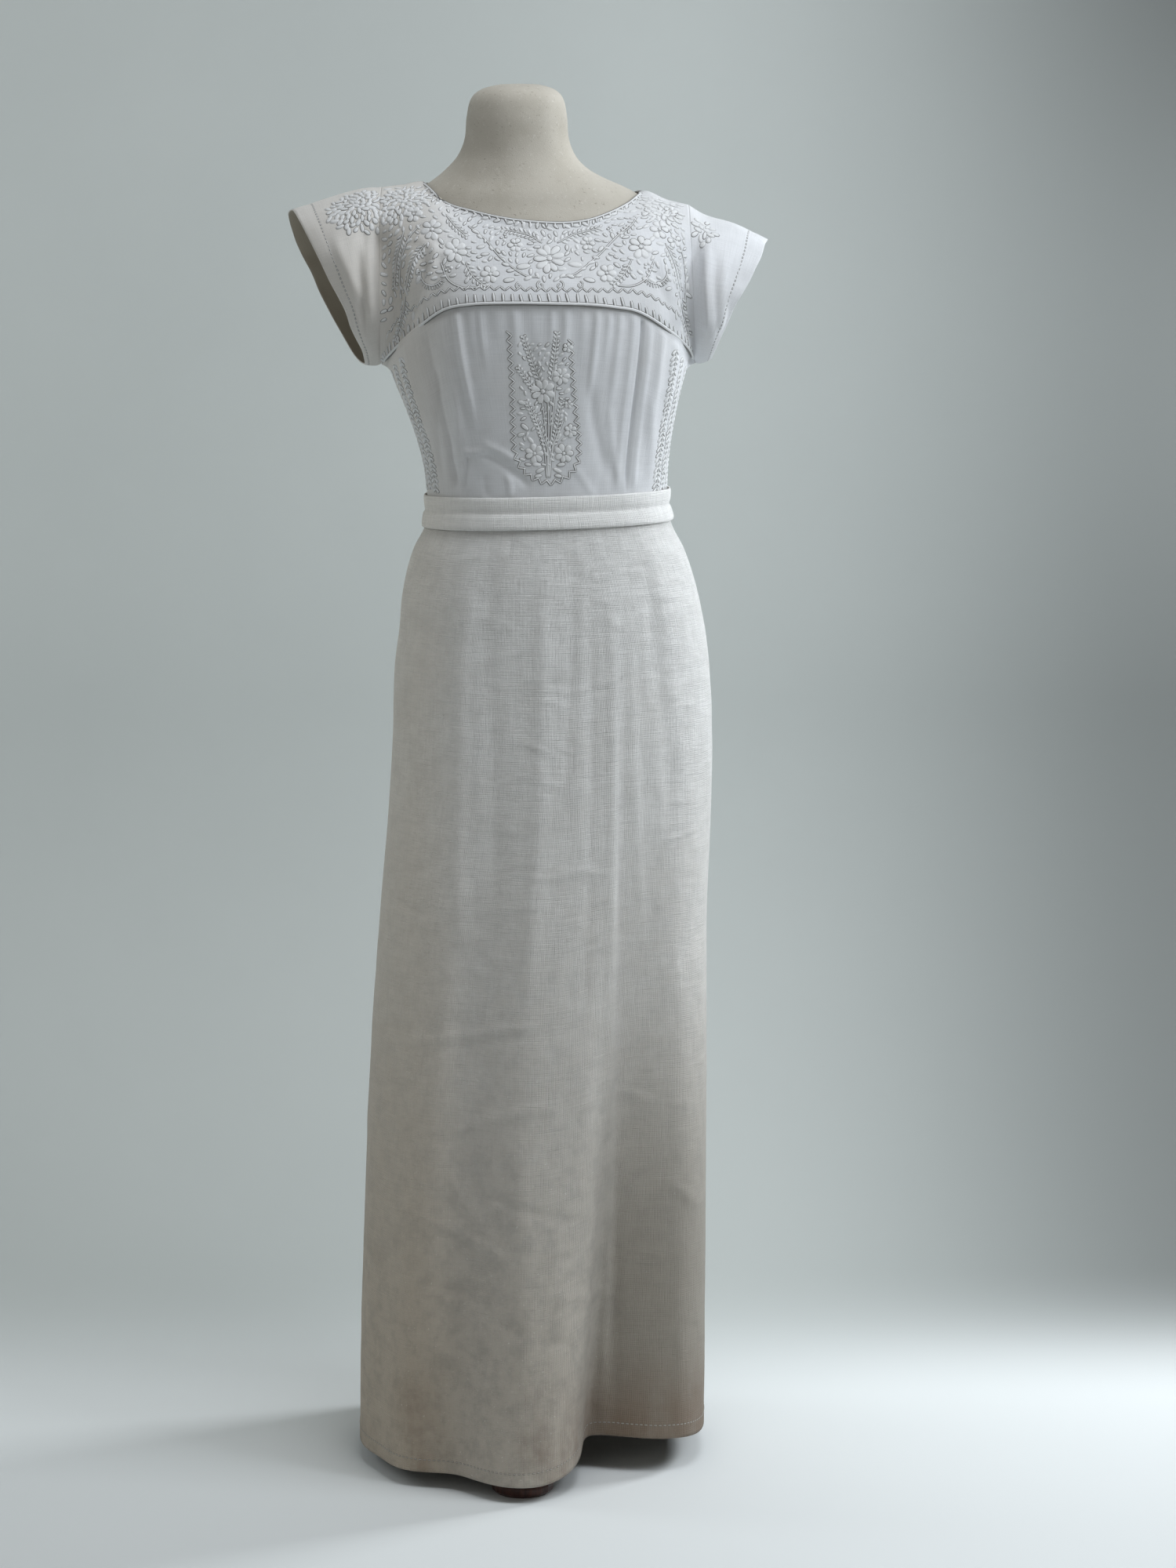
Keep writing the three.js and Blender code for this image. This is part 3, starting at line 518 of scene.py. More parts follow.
def yoke_grid(panel, shares, drops):
    """A yoke panel, clear of the form."""
    row = through(numbered(panel["yoke"]), "share", shares)
    place_in_table = shares * (len(panel["yoke"]["top_x"]) - 1)
    on_neckline = (place_in_table > panel["neck"][0] + 0.01) & (place_in_table < panel["neck"][1] - 0.01)
    side = panel["side"]
    depth = np.where(on_neckline, form_depth(row["top_x"], row["top_z"], side), 0)
    top = vector(row["top_x"], depth, row["top_z"])
    seam = vector(row["seam_x"], row["seam_y"], row["seam_z"])
    aim_top = vector(row["top_x"], side * row["lean"], row["top_z"] - row["drop"])
    aim_seam = seam + vector(0, side * row["swell"], row["rise"])
    line = bezier([top[None], aim_top[None], aim_seam[None], seam[None]], drops[:, None])
    return clear_of_form(line, COTTON_WALL / 2 + SEAT_GAP)


def eased(grid, passes):
    """A yoke with the ridges below its neck corners smoothed away. Its edges stay."""
    down = even(grid.shape[0])[:, None, None]
    weight = 0.5 * smoothstep(down, 0, 0.12) * (1 - smoothstep(down, 0.8, 0.97))
    for _ in range(passes):
        between = (grid[:, :-2] + grid[:, 2:]) / 2
        grid[:, 1:-1] = lerp(grid[:, 1:-1], between, weight)
    return clear_of_form(grid, COTTON_WALL / 2 + SEAT_GAP)


def sleeve_grid(sleeve, side, rows, half_columns):
    """A sleeve as rings, front half first, from the armhole to the hem."""
    ring = through(numbered(sleeve), "share", even(rows))
    top = vector(ring["top_x"], 0, ring["top_z"])
    low = vector(ring["low_x"], 0, ring["low_z"])
    share = even(half_columns + 1)

    def half(shift, swell):
        aim_top = top + vector(shift, swell, -ring["drop"])
        aim_low = low + vector(shift, swell, ring["drop"])
        return bezier([top[:, None], aim_top[:, None], aim_low[:, None], low[:, None]], share[None])

    front = half(ring["front_x"], -ring["front"])
    back = half(ring["back_x"], ring["back"])[:, ::-1]
    loop = np.concatenate([front[:, :-1], back[:, :-1]], axis=1)
    return loop if side < 0 else loop[:, ::-1]


def fold_depth(folds, across, drop):
    """How far a gathered panel stands off its plain surface."""
    depth = np.zeros(np.broadcast(across, drop).shape)
    for at, width, fold, start, end in zip(*folds.values()):
        fade = smoothstep(drop, start - 0.08, start + 0.08) * (1 - smoothstep(drop, end - 0.3, end))
        depth += fold * fade * bell((across - at) * BODICE_WIDTH, width / 2)
    return depth * smoothstep(drop, 0.035, 0.085) * (1 - smoothstep(drop, 0.82, 0.92))


def bodice_grid(panel, folds, shares, drops):
    """A gathered panel from behind the yoke's lower edge down to the waist."""
    yoke_rows = yoke_grid(panel, shares, np.array([0.9, 1.0]))
    seam = yoke_rows[-1]
    outward = surface_normals(yoke_grid(panel, shares, np.linspace(0.8, 1, 3)))[-1]
    upward = unit(yoke_rows[0] - seam)
    at_side = (1 - np.sin(np.pi * shares)) ** 6
    height = lerp(TUCK_HEIGHT, -UNDERARM_GAP, smoothstep(at_side, 0.05, 0.4))[:, None]
    depth = ((COTTON_WALL + TUCK_GAP) * (1 - smoothstep(at_side, 0.5, 1)))[:, None]
    fall = lerp(BODICE_FALL["below"], BODICE_FALL["underarm"], at_side)
    upward = lerp(upward, np.array([0, 0, 1.0]), smoothstep(at_side, 0.3, 1)[:, None])
    top = seam + upward * height - outward * depth
    angle = np.pi * (shares - 1) if panel["side"] < 0 else np.pi * shares
    waist_section = through(SKIRT_SECTIONS, "z", np.full(len(shares), float(WAIST_SEAM_HEIGHT)))
    waist = section_point(waist_section, angle)
    aim_top = top + vector(-np.sign(seam[:, 0]) * UNDERARM_CURVE * at_side, 0, -fall)
    aim_waist = waist + vector(0, 0, BODICE_FALL["above_waist"])
    grid = bezier([top[None], aim_top[None], aim_waist[None], waist[None]], drops[:, None])
    return grid + surface_normals(grid) * fold_depth(folds, shares[None], drops[:, None])[..., None]


def skirt_grid(degrees, shares):
    """A skirt panel with its flutes, from the waist seam to the hem."""
    hem = through(HEM_HEIGHTS, "angle", degrees)["z"][None]
    z = lerp(WAIST_SEAM_HEIGHT - SEAM_INSET, hem, shares[:, None])
    angle = np.radians(degrees)[None] + 0 * z
    points = section_point(through(SKIRT_SECTIONS, "z", z), angle)
    inward = np.zeros(z.shape)
    for hem_angle, top_angle, spread, depth, start, power in zip(*SKIRT_FLUTES.values()):
        share = np.clip((start - z) / (start - hem), 0, 1)
        middle = lerp(top_angle, hem_angle, share)
        inward += depth * share ** power * bell(np.degrees(angle) - middle, spread)
    return points - vector(np.cos(angle), np.sin(angle), 0 * z) * inward[..., None]


def waistband_grid(columns, rows):
    profile = through(WAISTBAND_PROFILE, "share", even(rows))
    angle = np.pi * (2 * np.arange(columns) / columns - 1)
    x = section_point(through(SKIRT_SECTIONS, "z", np.full(columns, float(WAIST_SEAM_HEIGHT))), angle)[:, 0]
    top = WAISTBAND["top"] + WAISTBAND["top_tilt"] * x
    bottom = WAISTBAND["bottom"] + WAISTBAND["bottom_tilt"] * x
    z = lerp(top[None], bottom[None], profile["share"][:, None])
    angle = angle[None] + 0 * z
    section = through(SKIRT_SECTIONS, "z", np.minimum(z, WAIST_SEAM_HEIGHT))
    points = section_point(section, angle)
    uneven = 0.35 * soft_noise(6 * angle / np.pi + 20, 3 * z / 34, 5)
    out = profile["out"][:, None] + uneven
    points += vector(np.cos(angle), np.sin(angle), 0 * z) * out[..., None]
    points[..., 2] = z
    return points


def crease_depth(grid, creases):
    """How deep a table of creases is at each point of a grid."""
    x, z = grid[..., 0], grid[..., 2]
    offset = np.zeros(x.shape)
    for x_top, z_top, x_low, z_low, width, depth in zip(*creases.values()):
        run = np.array([x_low - x_top, z_low - z_top])
        length = math.hypot(*run)
        run = run / length
        along = ((x - x_top) * run[0] + (z - z_top) * run[1]) / length
        across = (x - x_top) * run[1] - (z - z_top) * run[0]
        across = across + width * 0.6 * np.sin(3.1 * along + x_top)
        fade = smoothstep(along, -0.02, 0.22) * (1 - smoothstep(along, 0.78, 1.02))
        offset += depth * fade * bell(across, width / 2)
    return offset


def hollowed(grid):
    """The grid pressed in at the armholes, straight from the front and the back."""
    y = grid[..., 1]
    depth = crease_depth(grid, ARMHOLE_HOLLOWS) * smoothstep(abs(y), 0, 30)
    depth = depth * np.where(y < 0, 1, BACK_HOLLOW_SHARE)
    return grid - vector(0, 1, 0) * (np.sign(y) * depth)[..., None]


def creased(grid, creases, face, keep_edges, closed=False):
    """The grid with its table of creases, which fade out at its edges.

    face is the side of the garment they lie on, -1 in front.
    """
    offset = crease_depth(grid, creases) * smoothstep(face * grid[..., 1], 0, 30)
    down = even(grid.shape[0])[:, None]
    offset *= smoothstep(down, 0, keep_edges[0])
    offset *= 1 - smoothstep(down, 1 - keep_edges[1], 1)
    return grid + surface_normals(grid, closed) * offset[..., None]


def hemmed(grid, depth, closed=False):
    """The grid with the ledge of a turned hem along its last rows."""
    to_edge = np.linalg.norm(grid - grid[-1:], axis=-1)
    ledge = HEM_LEDGE * (1 - smoothstep(to_edge, depth - 2, depth + 2))
    return grid + surface_normals(grid, closed) * ledge[..., None]


def waved(grid, amount, size, seed):
    """A sleeve whose cuff waves a little, in and out and along, as a soft hem does."""
    x, z = (grid[-1, :, 0] + grid[-1, :, 1])[None], grid[-1, :, 2][None]
    near_cuff = amount * smoothstep(even(grid.shape[0]), 0.35, 1)[:, None]
    outward = near_cuff * soft_noise(x / size + 30, z / size + 30, seed)
    along = 0.6 * near_cuff * soft_noise(x / size + 9, z / size + 9, seed + 1)
    return (grid + surface_normals(grid, True) * outward[..., None]
            + unit(np.gradient(grid, axis=0)) * along[..., None])


def rumpled(grid, amount, size, seed, closed=False):
    """The grid with a soft unevenness, as washed cloth has, faded out at its edges."""
    x, z = grid[..., 0] + grid[..., 1], grid[..., 2]
    offset = amount * (soft_noise(x / size + 30, z / (2.2 * size) + 30, seed)
                       + 0.5 * soft_noise(x / size * 2.3 + 9, z / size * 1.4 + 9, seed + 1))
    down = even(grid.shape[0])[:, None]
    offset = offset * smoothstep(down, 0, 0.06) * (1 - smoothstep(down, 0.94, 1))
    if not closed:
        across = even(grid.shape[1])[None]
        offset = offset * smoothstep(across, 0, 0.03) * (1 - smoothstep(across, 0.97, 1))
    return grid + surface_normals(grid, closed) * offset[..., None]


# ---------------- from drawing to scene

pole_low, pole_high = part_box("stand_pole")
POLE_MIDDLE = (pole_low + pole_high) / 2
SHIFT = np.array([POLE_MIDDLE.x - POLE["x"] * MM, POLE_MIDDLE.y - POLE["y"] * MM, 0])


def place(points):
    """Points of the drawing in metres, in the frame of the row."""
    return np.asarray(points, float) * MM + SHIFT


def mesh_object(name, vertices, faces, material, attributes=None):
    """A mesh that rides on the part. vertices are in the drawing's millimetres."""
    mesh = bpy.data.meshes.new(name)
    mesh.from_pydata(place(vertices).tolist(), [], faces)
    for attribute_name, values in (attributes or {}).items():
        attribute = mesh.attributes.new(attribute_name, "FLOAT_VECTOR", "POINT")
        attribute.data.foreach_set("vector", np.asarray(values, np.float32).ravel())
    mesh.validate()
    mesh.polygons.foreach_set("use_smooth", [True] * len(mesh.polygons))
    mesh.materials.append(material)
    piece = bpy.data.objects.new(name, mesh)
    bpy.context.scene.collection.objects.link(piece)
    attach(piece, "root")
    return piece


def cloth_coordinates(grid):
    """Lengths along the cloth, across and down, in metres, for its weave."""
    across = run_along(grid[grid.shape[0] // 2])
    down = np.concatenate([[0], np.cumsum(np.linalg.norm(np.diff(grid, axis=0), axis=-1).mean(1))])
    plane = np.stack(np.broadcast_arrays(across[None], down[:, None], 0 * down[:, None]), axis=-1)
    return plane * MM


def cloth_shell(node, grid, thickness, material, closed=False):
    """A thin closed shell of even thickness about a grid, which stands for a CAD node."""
    rows, columns = grid.shape[:2]
    normals = surface_normals(grid, closed)
    outer = grid + normals * thickness / 2
    inner = grid - normals * thickness / 2
    weave = cloth_coordinates(grid).reshape(-1, 3)
    spans = columns if closed else columns - 1
    back = rows * columns

    def quads(a, b, c, d):
        return np.stack([a, b, c, d], 1)

    i, j = (index.ravel() for index in np.meshgrid(np.arange(rows - 1), np.arange(spans), indexing="ij"))
    right = (j + 1) % columns
    a, b, c, d = i * columns + j, (i + 1) * columns + j, (i + 1) * columns + right, i * columns + right
    front_faces = quads(a, b, c, d)
    faces = [front_faces, quads(a, d, c, b) + back]
    j = np.arange(spans)
    right = (j + 1) % columns
    last = (rows - 1) * columns
    faces.append(quads(j, right, back + right, back + j))
    faces.append(quads(last + j, back + last + j, back + last + right, last + right))
    if not closed:
        i = np.arange(rows - 1) * columns
        below = i + columns
        end = columns - 1
        faces.append(quads(i, back + i, back + below, below))
        faces.append(quads(i + end, below + end, back + below + end, back + i + end))
    # the weave's third value is 1 on the inner side, which is painted darker: painted shade
    piece = mesh_object("dress_" + node, np.concatenate([outer.reshape(-1, 3), inner.reshape(-1, 3)]),
                        np.concatenate(faces).tolist(), material,
                        {"weave": np.concatenate([weave, weave + (0, 0, 1)])})
    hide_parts(node)
    tree = BVHTree.FromPolygons([Vector(p) for p in outer.reshape(-1, 3)], front_faces.tolist())
    return {"piece": piece, "outer": outer, "normals": normals, "tree": tree}


# ---------------- materials


class Look:
    """A material, with short ways to add nodes to it."""

    def __init__(self, name, roughness, sheen=0.0, coat=0.0):
        self.material = bpy.data.materials.new(name)
        self.material.use_nodes = True
        self.tree = self.material.node_tree
        self.shader = self.tree.nodes["Principled BSDF"]
        for socket, value in (("Roughness", roughness), ("Sheen Weight", sheen), ("Sheen Roughness", 0.5),
                              ("Coat Weight", coat), ("Specular IOR Level", 0.3)):
            self.shader.inputs[socket].default_value = value

    def add(self, kind, output, inputs=None, **settings):
        """Adds a node and gives one of its outputs. An input is a number, a vector, a colour or a link."""
        made = self.tree.nodes.new("ShaderNode" + kind)
        for key, value in settings.items():
            setattr(made, key, value)
        for key, value in (inputs or {}).items():
            socket = made.inputs[key]
            if isinstance(value, bpy.types.NodeSocket):
                self.tree.links.new(value, socket)
            else:
                socket.default_value = (*value, 1) if socket.type == "RGBA" else value
        return made.outputs[output]

    def place(self):
        return self.add("TexCoord", "Object")

    def attribute(self, name):
        return self.add("Attribute", "Vector", attribute_name=name)

    def part(self, vector, axis):
        return self.add("SeparateXYZ", axis, {0: vector})

    def scaled(self, source, scale, location=(0, 0, 0)):
        """Texture coordinates stretched by a scale on each axis."""
        return self.add("Mapping", "Vector", {"Scale": scale, "Location": location, "Vector": source})

    def noise(self, source, scale, detail=2.0, roughness=0.5):
        return self.add("TexNoise", "Fac",
                        {"Scale": scale, "Detail": detail, "Roughness": roughness, "Vector": source})

    def ridged(self, source):
        """Noise with fine ridges, like the crinkles of washed cloth."""
        return self.add("TexNoise", "Fac", {"Scale": 1.0, "Detail": 4.0, "Distortion": 0.8, "Vector": source},
                        noise_type="RIDGED_MULTIFRACTAL")

    def wave(self, source, scale, axis, distortion):
        return self.add("TexWave", "Fac", {"Scale": scale, "Distortion": distortion, "Vector": source},
                        bands_direction=axis)

    def plus(self, a, b):
        return self.add("Math", 0, {0: a, 1: b}, operation="ADD")

    def times(self, a, b):
        return self.add("Math", 0, {0: a, 1: b}, operation="MULTIPLY")

    def ramp(self, source, low, high):
        """A soft step of a value between two limits."""
        return self.add("MapRange", "Result", {"From Min": low, "From Max": high, "Value": source},
                        interpolation_type="SMOOTHSTEP")

    def mixed(self, share, a, b, blend="MIX", amount=None):
        """Colour b over colour a, by a share that amount scales."""
        share = share if amount is None else self.times(share, amount)
        return self.add("Mix", 2, {0: share, 6: a, 7: b}, data_type="RGBA", blend_type=blend)

    def finished(self, colour, height, distance):
        """The material with its colour and a bump of the surface."""
        self.tree.links.new(colour, self.shader.inputs["Base Color"])
        normal = self.add("Bump", "Normal", {"Distance": distance, "Height": height})
        self.tree.links.new(normal, self.shader.inputs["Normal"])
        return self.material


def shaded(colour, share):
    return tuple(share * channel for channel in colour)


def cloth_material(name, clean, darker_tone, thread, slub, slub_share, mottle, crinkle, bump, soil_and_shade=None):
    """Woven cloth: threads across and down, slubs along them, soft stains, painted warm shade on the left
    side, away from the lamps, and painted dark shade on the inner side.
    """
    look = Look(name, 0.88, sheen=0.12)
    weave = look.attribute("weave")
    across = look.noise(look.scaled(weave, (1 / thread, slub, 1)), 1.0, 2.0, 0.6)
    down = look.noise(look.scaled(weave, (slub, 1 / thread, 1)), 1.0, 2.0, 0.6)
    slubs_across = look.noise(look.scaled(weave, (0.4 / thread, 0.6 * slub, 1), (3, 7, 0)), 1.0, 2.0, 0.65)
    slubs_down = look.noise(look.scaled(weave, (0.5 * slub, 0.4 / thread, 1), (5, 1, 0)), 1.0, 2.0, 0.65)
    slubs = look.plus(slubs_across, slubs_down)
    threads = look.plus(across, down)
    fine = look.plus(*(look.wave(weave, 1 / (4.2 * thread), axis, 1.2) for axis in "XY"))
    place_in_row = look.place()
    blotches = look.ramp(look.noise(place_in_row, 9.0, 4.0, 0.6), 0.42, 0.72)
    mottles = look.ramp(look.noise(place_in_row, 55.0, 6.0, 0.65), 0.40, 0.68)
    grey = shaded(clean, 0.86)
    colour = look.mixed(blotches, clean, darker_tone, amount=0.7)
    colour = look.mixed(mottles, colour, shaded(darker_tone, 0.84), amount=mottle)
    colour = look.mixed(look.ramp(threads, 0.98, 1.22), colour, grey, amount=0.7)
    colour = look.mixed(look.ramp(slubs, 0.95, 1.25), colour, grey, amount=slub_share)
    if soil_and_shade:
        colour = soiled_and_shaded(look, place_in_row, colour, soil_and_shade)
    # painted shade: the cloth is tinted warm and darker towards the left, the side away from the lamps
    left = look.ramp(look.part(place_in_row, "X"), -0.05, -0.13)
    colour = look.mixed(left, colour, PAINTED_WARM_SHADE, "MULTIPLY", 0.75)
    # painted shade: the inner side of the cloth is darker, as inside a sleeve
    colour = look.mixed(look.ramp(look.part(weave, "Z"), 0.3, 0.9), colour, PAINTED_INNER_SHADE)
    crinkles = look.times(look.ridged(look.scaled(weave, (15, 30, 1))), crinkle)
    height = look.plus(look.plus(threads, look.times(fine, 0.35)), slubs)
    return look.finished(colour, look.plus(height, crinkles), bump)


def soiled_and_shaded(look, place_in_row, colour, soil_and_shade):
    """Painted shade that darkens the cloth down to the hem, with dirt spots and specks in it, a darker tone
    towards the lower right, and dirt in soft brown patches at the hem.
    """
    x, z = look.part(place_in_row, "X"), look.part(place_in_row, "Z")
    patches = look.noise(look.scaled(place_in_row, (1, 1, 0.6)), 6.0, 5.0, 0.65)
    spots = look.ramp(look.noise(place_in_row, 48.0, 6.0, 0.7), 0.40, 0.66)
    specks = look.ramp(look.noise(place_in_row, 330.0, 2.0, 0.6), 0.68, 0.74)
    grey = look.mixed(spots, soil_and_shade["grey"], shaded(soil_and_shade["grey"], 0.72), amount=0.75)
    grey = look.mixed(specks, grey, soil_and_shade["speck"], amount=0.6)
    # painted shade: the cloth darkens towards the hem, where less light reaches; the spots and specks in it
    # are dirt
    colour = look.mixed(look.ramp(z, 0.95, 0.0), colour, grey, amount=0.90)
    # darker towards the lower right
    right = look.ramp(x, 0.035, 0.12)
    darker_tone = look.times(right, look.ramp(z, 0.62, 0.18))
    colour = look.mixed(darker_tone, colour, soil_and_shade["dark"], amount=0.75)
    patches = look.plus(look.ramp(patches, 0.42, 0.7), look.times(right, 0.3))
    marks = look.times(look.ramp(z, 0.17, 0.02), patches)
    return look.mixed(marks, colour, soil_and_shade["brown"], amount=0.75)


def thread_material(name, tones):
    """Stranded cotton: fine ridges along the satin stitches in painted light and shade, with painted shade at
    their foot.
    """
    look = Look(name, 0.62, sheen=0.2)
    stitch = look.attribute("stitch")
    ridges = look.wave(look.scaled(stitch, (1, 1, 0)), 1 / (2.2 * MM), "X", 0.6)
    # where the painted shade at a stitch's foot goes
    foot = look.ramp(look.part(stitch, "Z"), 0.35, 1.0)
    colour = look.mixed(foot, look.mixed(ridges, tones["shade"], tones["light"]), tones["foot"])
    return look.finished(colour, ridges, 0.12 * MM)


def canvas_material():
    look = Look("form_canvas", 0.88, sheen=0.05)
    place_in_row = look.place()
    cloud = look.ramp(look.noise(place_in_row, 14.0, 4.0, 0.6), 0.35, 0.75)
    specks = look.ramp(look.noise(place_in_row, 260.0, 3.0, 0.75), 0.60, 0.72)
    elsewhere = look.scaled(place_in_row, (1, 1, 1), (3, 1, 2))
    pale = look.ramp(look.noise(elsewhere, 230.0, 3.0, 0.75), 0.58, 0.70)
    colour = look.mixed(cloud, CANVAS["light"], CANVAS["dark"])
    colour = look.mixed(specks, colour, CANVAS["speck"], amount=0.65)
    colour = look.mixed(pale, colour, CANVAS["pale"], amount=0.35)
    return look.finished(colour, look.noise(place_in_row, 900.0, 2.0, 0.7), 0.25 * MM)


def wood_material():
    look = Look("stand_wood", 0.38, coat=0.3)
    place_in_row = look.place()
    grain = look.noise(look.scaled(place_in_row, (60, 60, 7)), 3.0, 5.0, 0.6)
    pores = look.ramp(look.noise(look.scaled(place_in_row, (420, 420, 30)), 2.0), 0.58, 0.7)
    colour = look.mixed(look.ramp(grain, 0.3, 0.75), WOOD["dark"], WOOD["light"])
    colour = look.mixed(pores, colour, WOOD["pore"], amount=0.6)
    return look.finished(colour, grain, 0.3 * MM)


# The inner side's colour is painted shade.
PAINTED_INNER_SHADE = (0.42, 0.38, 0.31)
# light and shade: painted lit and shaded tones across the thread's ridges. foot: painted shade at the foot of
# each stitch.
THREAD = {"light": (0.86, 0.87, 0.88), "shade": (0.72, 0.73, 0.74), "foot": (0.20, 0.195, 0.185)}
HEM_THREAD = {"light": (0.58, 0.56, 0.52), "shade": (0.46, 0.44, 0.40), "foot": (0.22, 0.20, 0.17)}
CANVAS = {"light": (0.53, 0.50, 0.44), "dark": (0.46, 0.43, 0.37),
          "speck": (0.25, 0.22, 0.18), "pale": (0.72, 0.70, 0.65)}
WOOD = {"dark": (0.028, 0.009, 0.006), "light": (0.085, 0.030, 0.020), "pore": (0.010, 0.004, 0.003)}
# grey: painted shade towards the hem. speck and brown: dirt. dark: a darker tone towards the lower right.
SOIL_AND_SHADE = {"grey": (0.46, 0.408, 0.342), "speck": (0.75, 0.73, 0.68),
        "dark": (0.27, 0.245, 0.205), "brown": (0.20, 0.135, 0.09)}
# the warm tint of the painted shade on the left side
PAINTED_WARM_SHADE = (0.99, 0.93, 0.84)

cotton = cloth_material("cotton", clean=(0.76, 0.775, 0.80), darker_tone=(0.70, 0.705, 0.71), thread=0.45 * MM,
                        slub=25.0, slub_share=0.25, mottle=0.15, crinkle=3.0, bump=0.14 * MM)
linen = cloth_material("linen", clean=(0.80, 0.80, 0.79), darker_tone=(0.74, 0.73, 0.71), thread=1.1 * MM, slub=35.0,
                       slub_share=0.65, mottle=0.42, crinkle=4.5, bump=0.6 * MM, soil_and_shade=SOIL_AND_SHADE)
band_linen = cloth_material("band_linen", clean=(0.86, 0.86, 0.85), darker_tone=(0.80, 0.80, 0.78), thread=1.1 * MM,
                            slub=35.0, slub_share=0.7, mottle=0.3, crinkle=0.8, bump=0.5 * MM)
thread = thread_material("embroidery_thread", THREAD)
hem_thread = thread_material("hem_thread", HEM_THREAD)
canvas = canvas_material()
wood = wood_material()

# ---------------- the cloth pieces

cloth = {}
for face, panel, creases, seed in (
        ("front", FRONT, YOKE_FRONT_CREASES, 1),
        ("back", BACK, YOKE_BACK_CREASES, 3)):
    grid = eased(yoke_grid(panel, even(150), even(56) ** 1.15), passes=60)
    grid = creased(grid, creases, face=panel["side"], keep_edges=(0.2, 0.15))
    grid = rumpled(hollowed(grid), amount=0.35, size=26, seed=seed)
    cloth["yoke_" + face] = cloth_shell("yoke_" + face, grid, COTTON_WALL, cotton)

for name, rings, side in (("sleeve_left", LEFT_SLEEVE, -1), ("sleeve_right", RIGHT_SLEEVE, 1)):
    grid = sleeve_grid(rings, side, rows=40, half_columns=60)
    for face, creases in ((-1, SLEEVE_FRONT_CREASES), (1, SLEEVE_BACK_CREASES)):
        grid = creased(grid, creases, closed=True, face=face, keep_edges=(0.15, 0.2))
    fading = 1 - smoothstep(even(grid.shape[0]), 0.25, 0.8)[:, None, None]
    grid = lerp(grid, hollowed(grid), fading)
    grid = waved(grid, amount=3.2, size=26, seed=31 + side)
    grid = hemmed(grid, SLEEVE_HEM, closed=True)
    grid = rumpled(grid, amount=0.5, size=30, seed=7 + side, closed=True)
    cloth[name] = cloth_shell(name, grid, COTTON_WALL, cotton, closed=True)

for face, panel, folds, creases, columns, seed in (
        ("front", FRONT, FRONT_FOLDS, BODICE_FRONT_CREASES, 240, 11),
        ("back", BACK, BACK_FOLDS, BODICE_BACK_CREASES, 180, 13)):
    grid = bodice_grid(panel, folds, even(columns), even(90))
    grid = creased(grid, creases, face=panel["side"], keep_edges=(0.08, 0.06))
    grid = rumpled(grid, amount=0.4, size=24, seed=seed)
    cloth["bodice_" + face] = cloth_shell("bodice_" + face, grid, COTTON_WALL, cotton)

cloth["waistband"] = cloth_shell("waistband", waistband_grid(columns=260, rows=26),
                                 LINEN_WALL, band_linen, closed=True)

for face, side, degrees, rows, creases, seed in (
        ("front", -1, np.linspace(-180, 0, 180), 270, SKIRT_FRONT_CREASES, 17),
        ("back", 1, np.linspace(0, 180, 130), 190, SKIRT_BACK_CREASES, 19)):
    grid = creased(skirt_grid(degrees, even(rows)), creases, face=side, keep_edges=(0.03, 0.03))
    grid = rumpled(hemmed(grid, SKIRT_HEM), amount=0.7, size=38, seed=seed)
    cloth["skirt_" + face] = cloth_shell("skirt_" + face, grid, LINEN_WALL, linen)

# ---------------- embroidery

STITCH_SINK = 0.4          # how far every stitch goes down into the cloth, mm
PAINTED_SHADE_RIM = 0.65             # the width of the painted shade round a stitch's foot, on the cloth
PAD_LIFT = 0.75            # how high a padded leaf stands, as a share of its own height
VIEW_DISTANCE = 2000
PRESS_REACH = 9            # how far from a point its place on the cloth is looked for

# A view is how a design is laid on the cloth: the direction it is pressed on in, and its
# across and up axes. A place (u, v) of a design is in millimetres on those axes.
FRONT_VIEW = ((0, 1, 0), (1, 0, 0), (0, 0, 1))
BACK_VIEW = ((0, -1, 0), (1, 0, 0), (0, 0, 1))
TOP_VIEW = ((0, 0.6, -0.8), (1, 0, 0), (0, 0.8, 0.6))
BACK_TOP_VIEW = ((0, -0.6, -0.8), (1, 0, 0), (0, -0.8, 0.6))


def polar(place, reach, angle):
    """The place at a distance from another one, in a direction of the design."""
    return place[0] + reach * math.cos(angle), place[1] + reach * math.sin(angle)


def smooth_path(places, step):
    """Places on a smooth curve through the given ones, about a step apart."""
    places = np.array(places, float)
    if len(places) == 2:
        fine = places[0] + (places[1] - places[0]) * even(20)[:, None]
    else:
        rows = {"share": even(len(places)), "u": places[:, 0], "v": places[:, 1]}
        found = through(rows, "share", even(24 * len(places)))
        fine = np.stack([found["u"], found["v"]], axis=1)
    along = run_along(fine)
    at = np.linspace(0, along[-1], max(2, int(round(along[-1] / step)) + 1))
    return [tuple(place) for place in sampled(at, along, fine)]


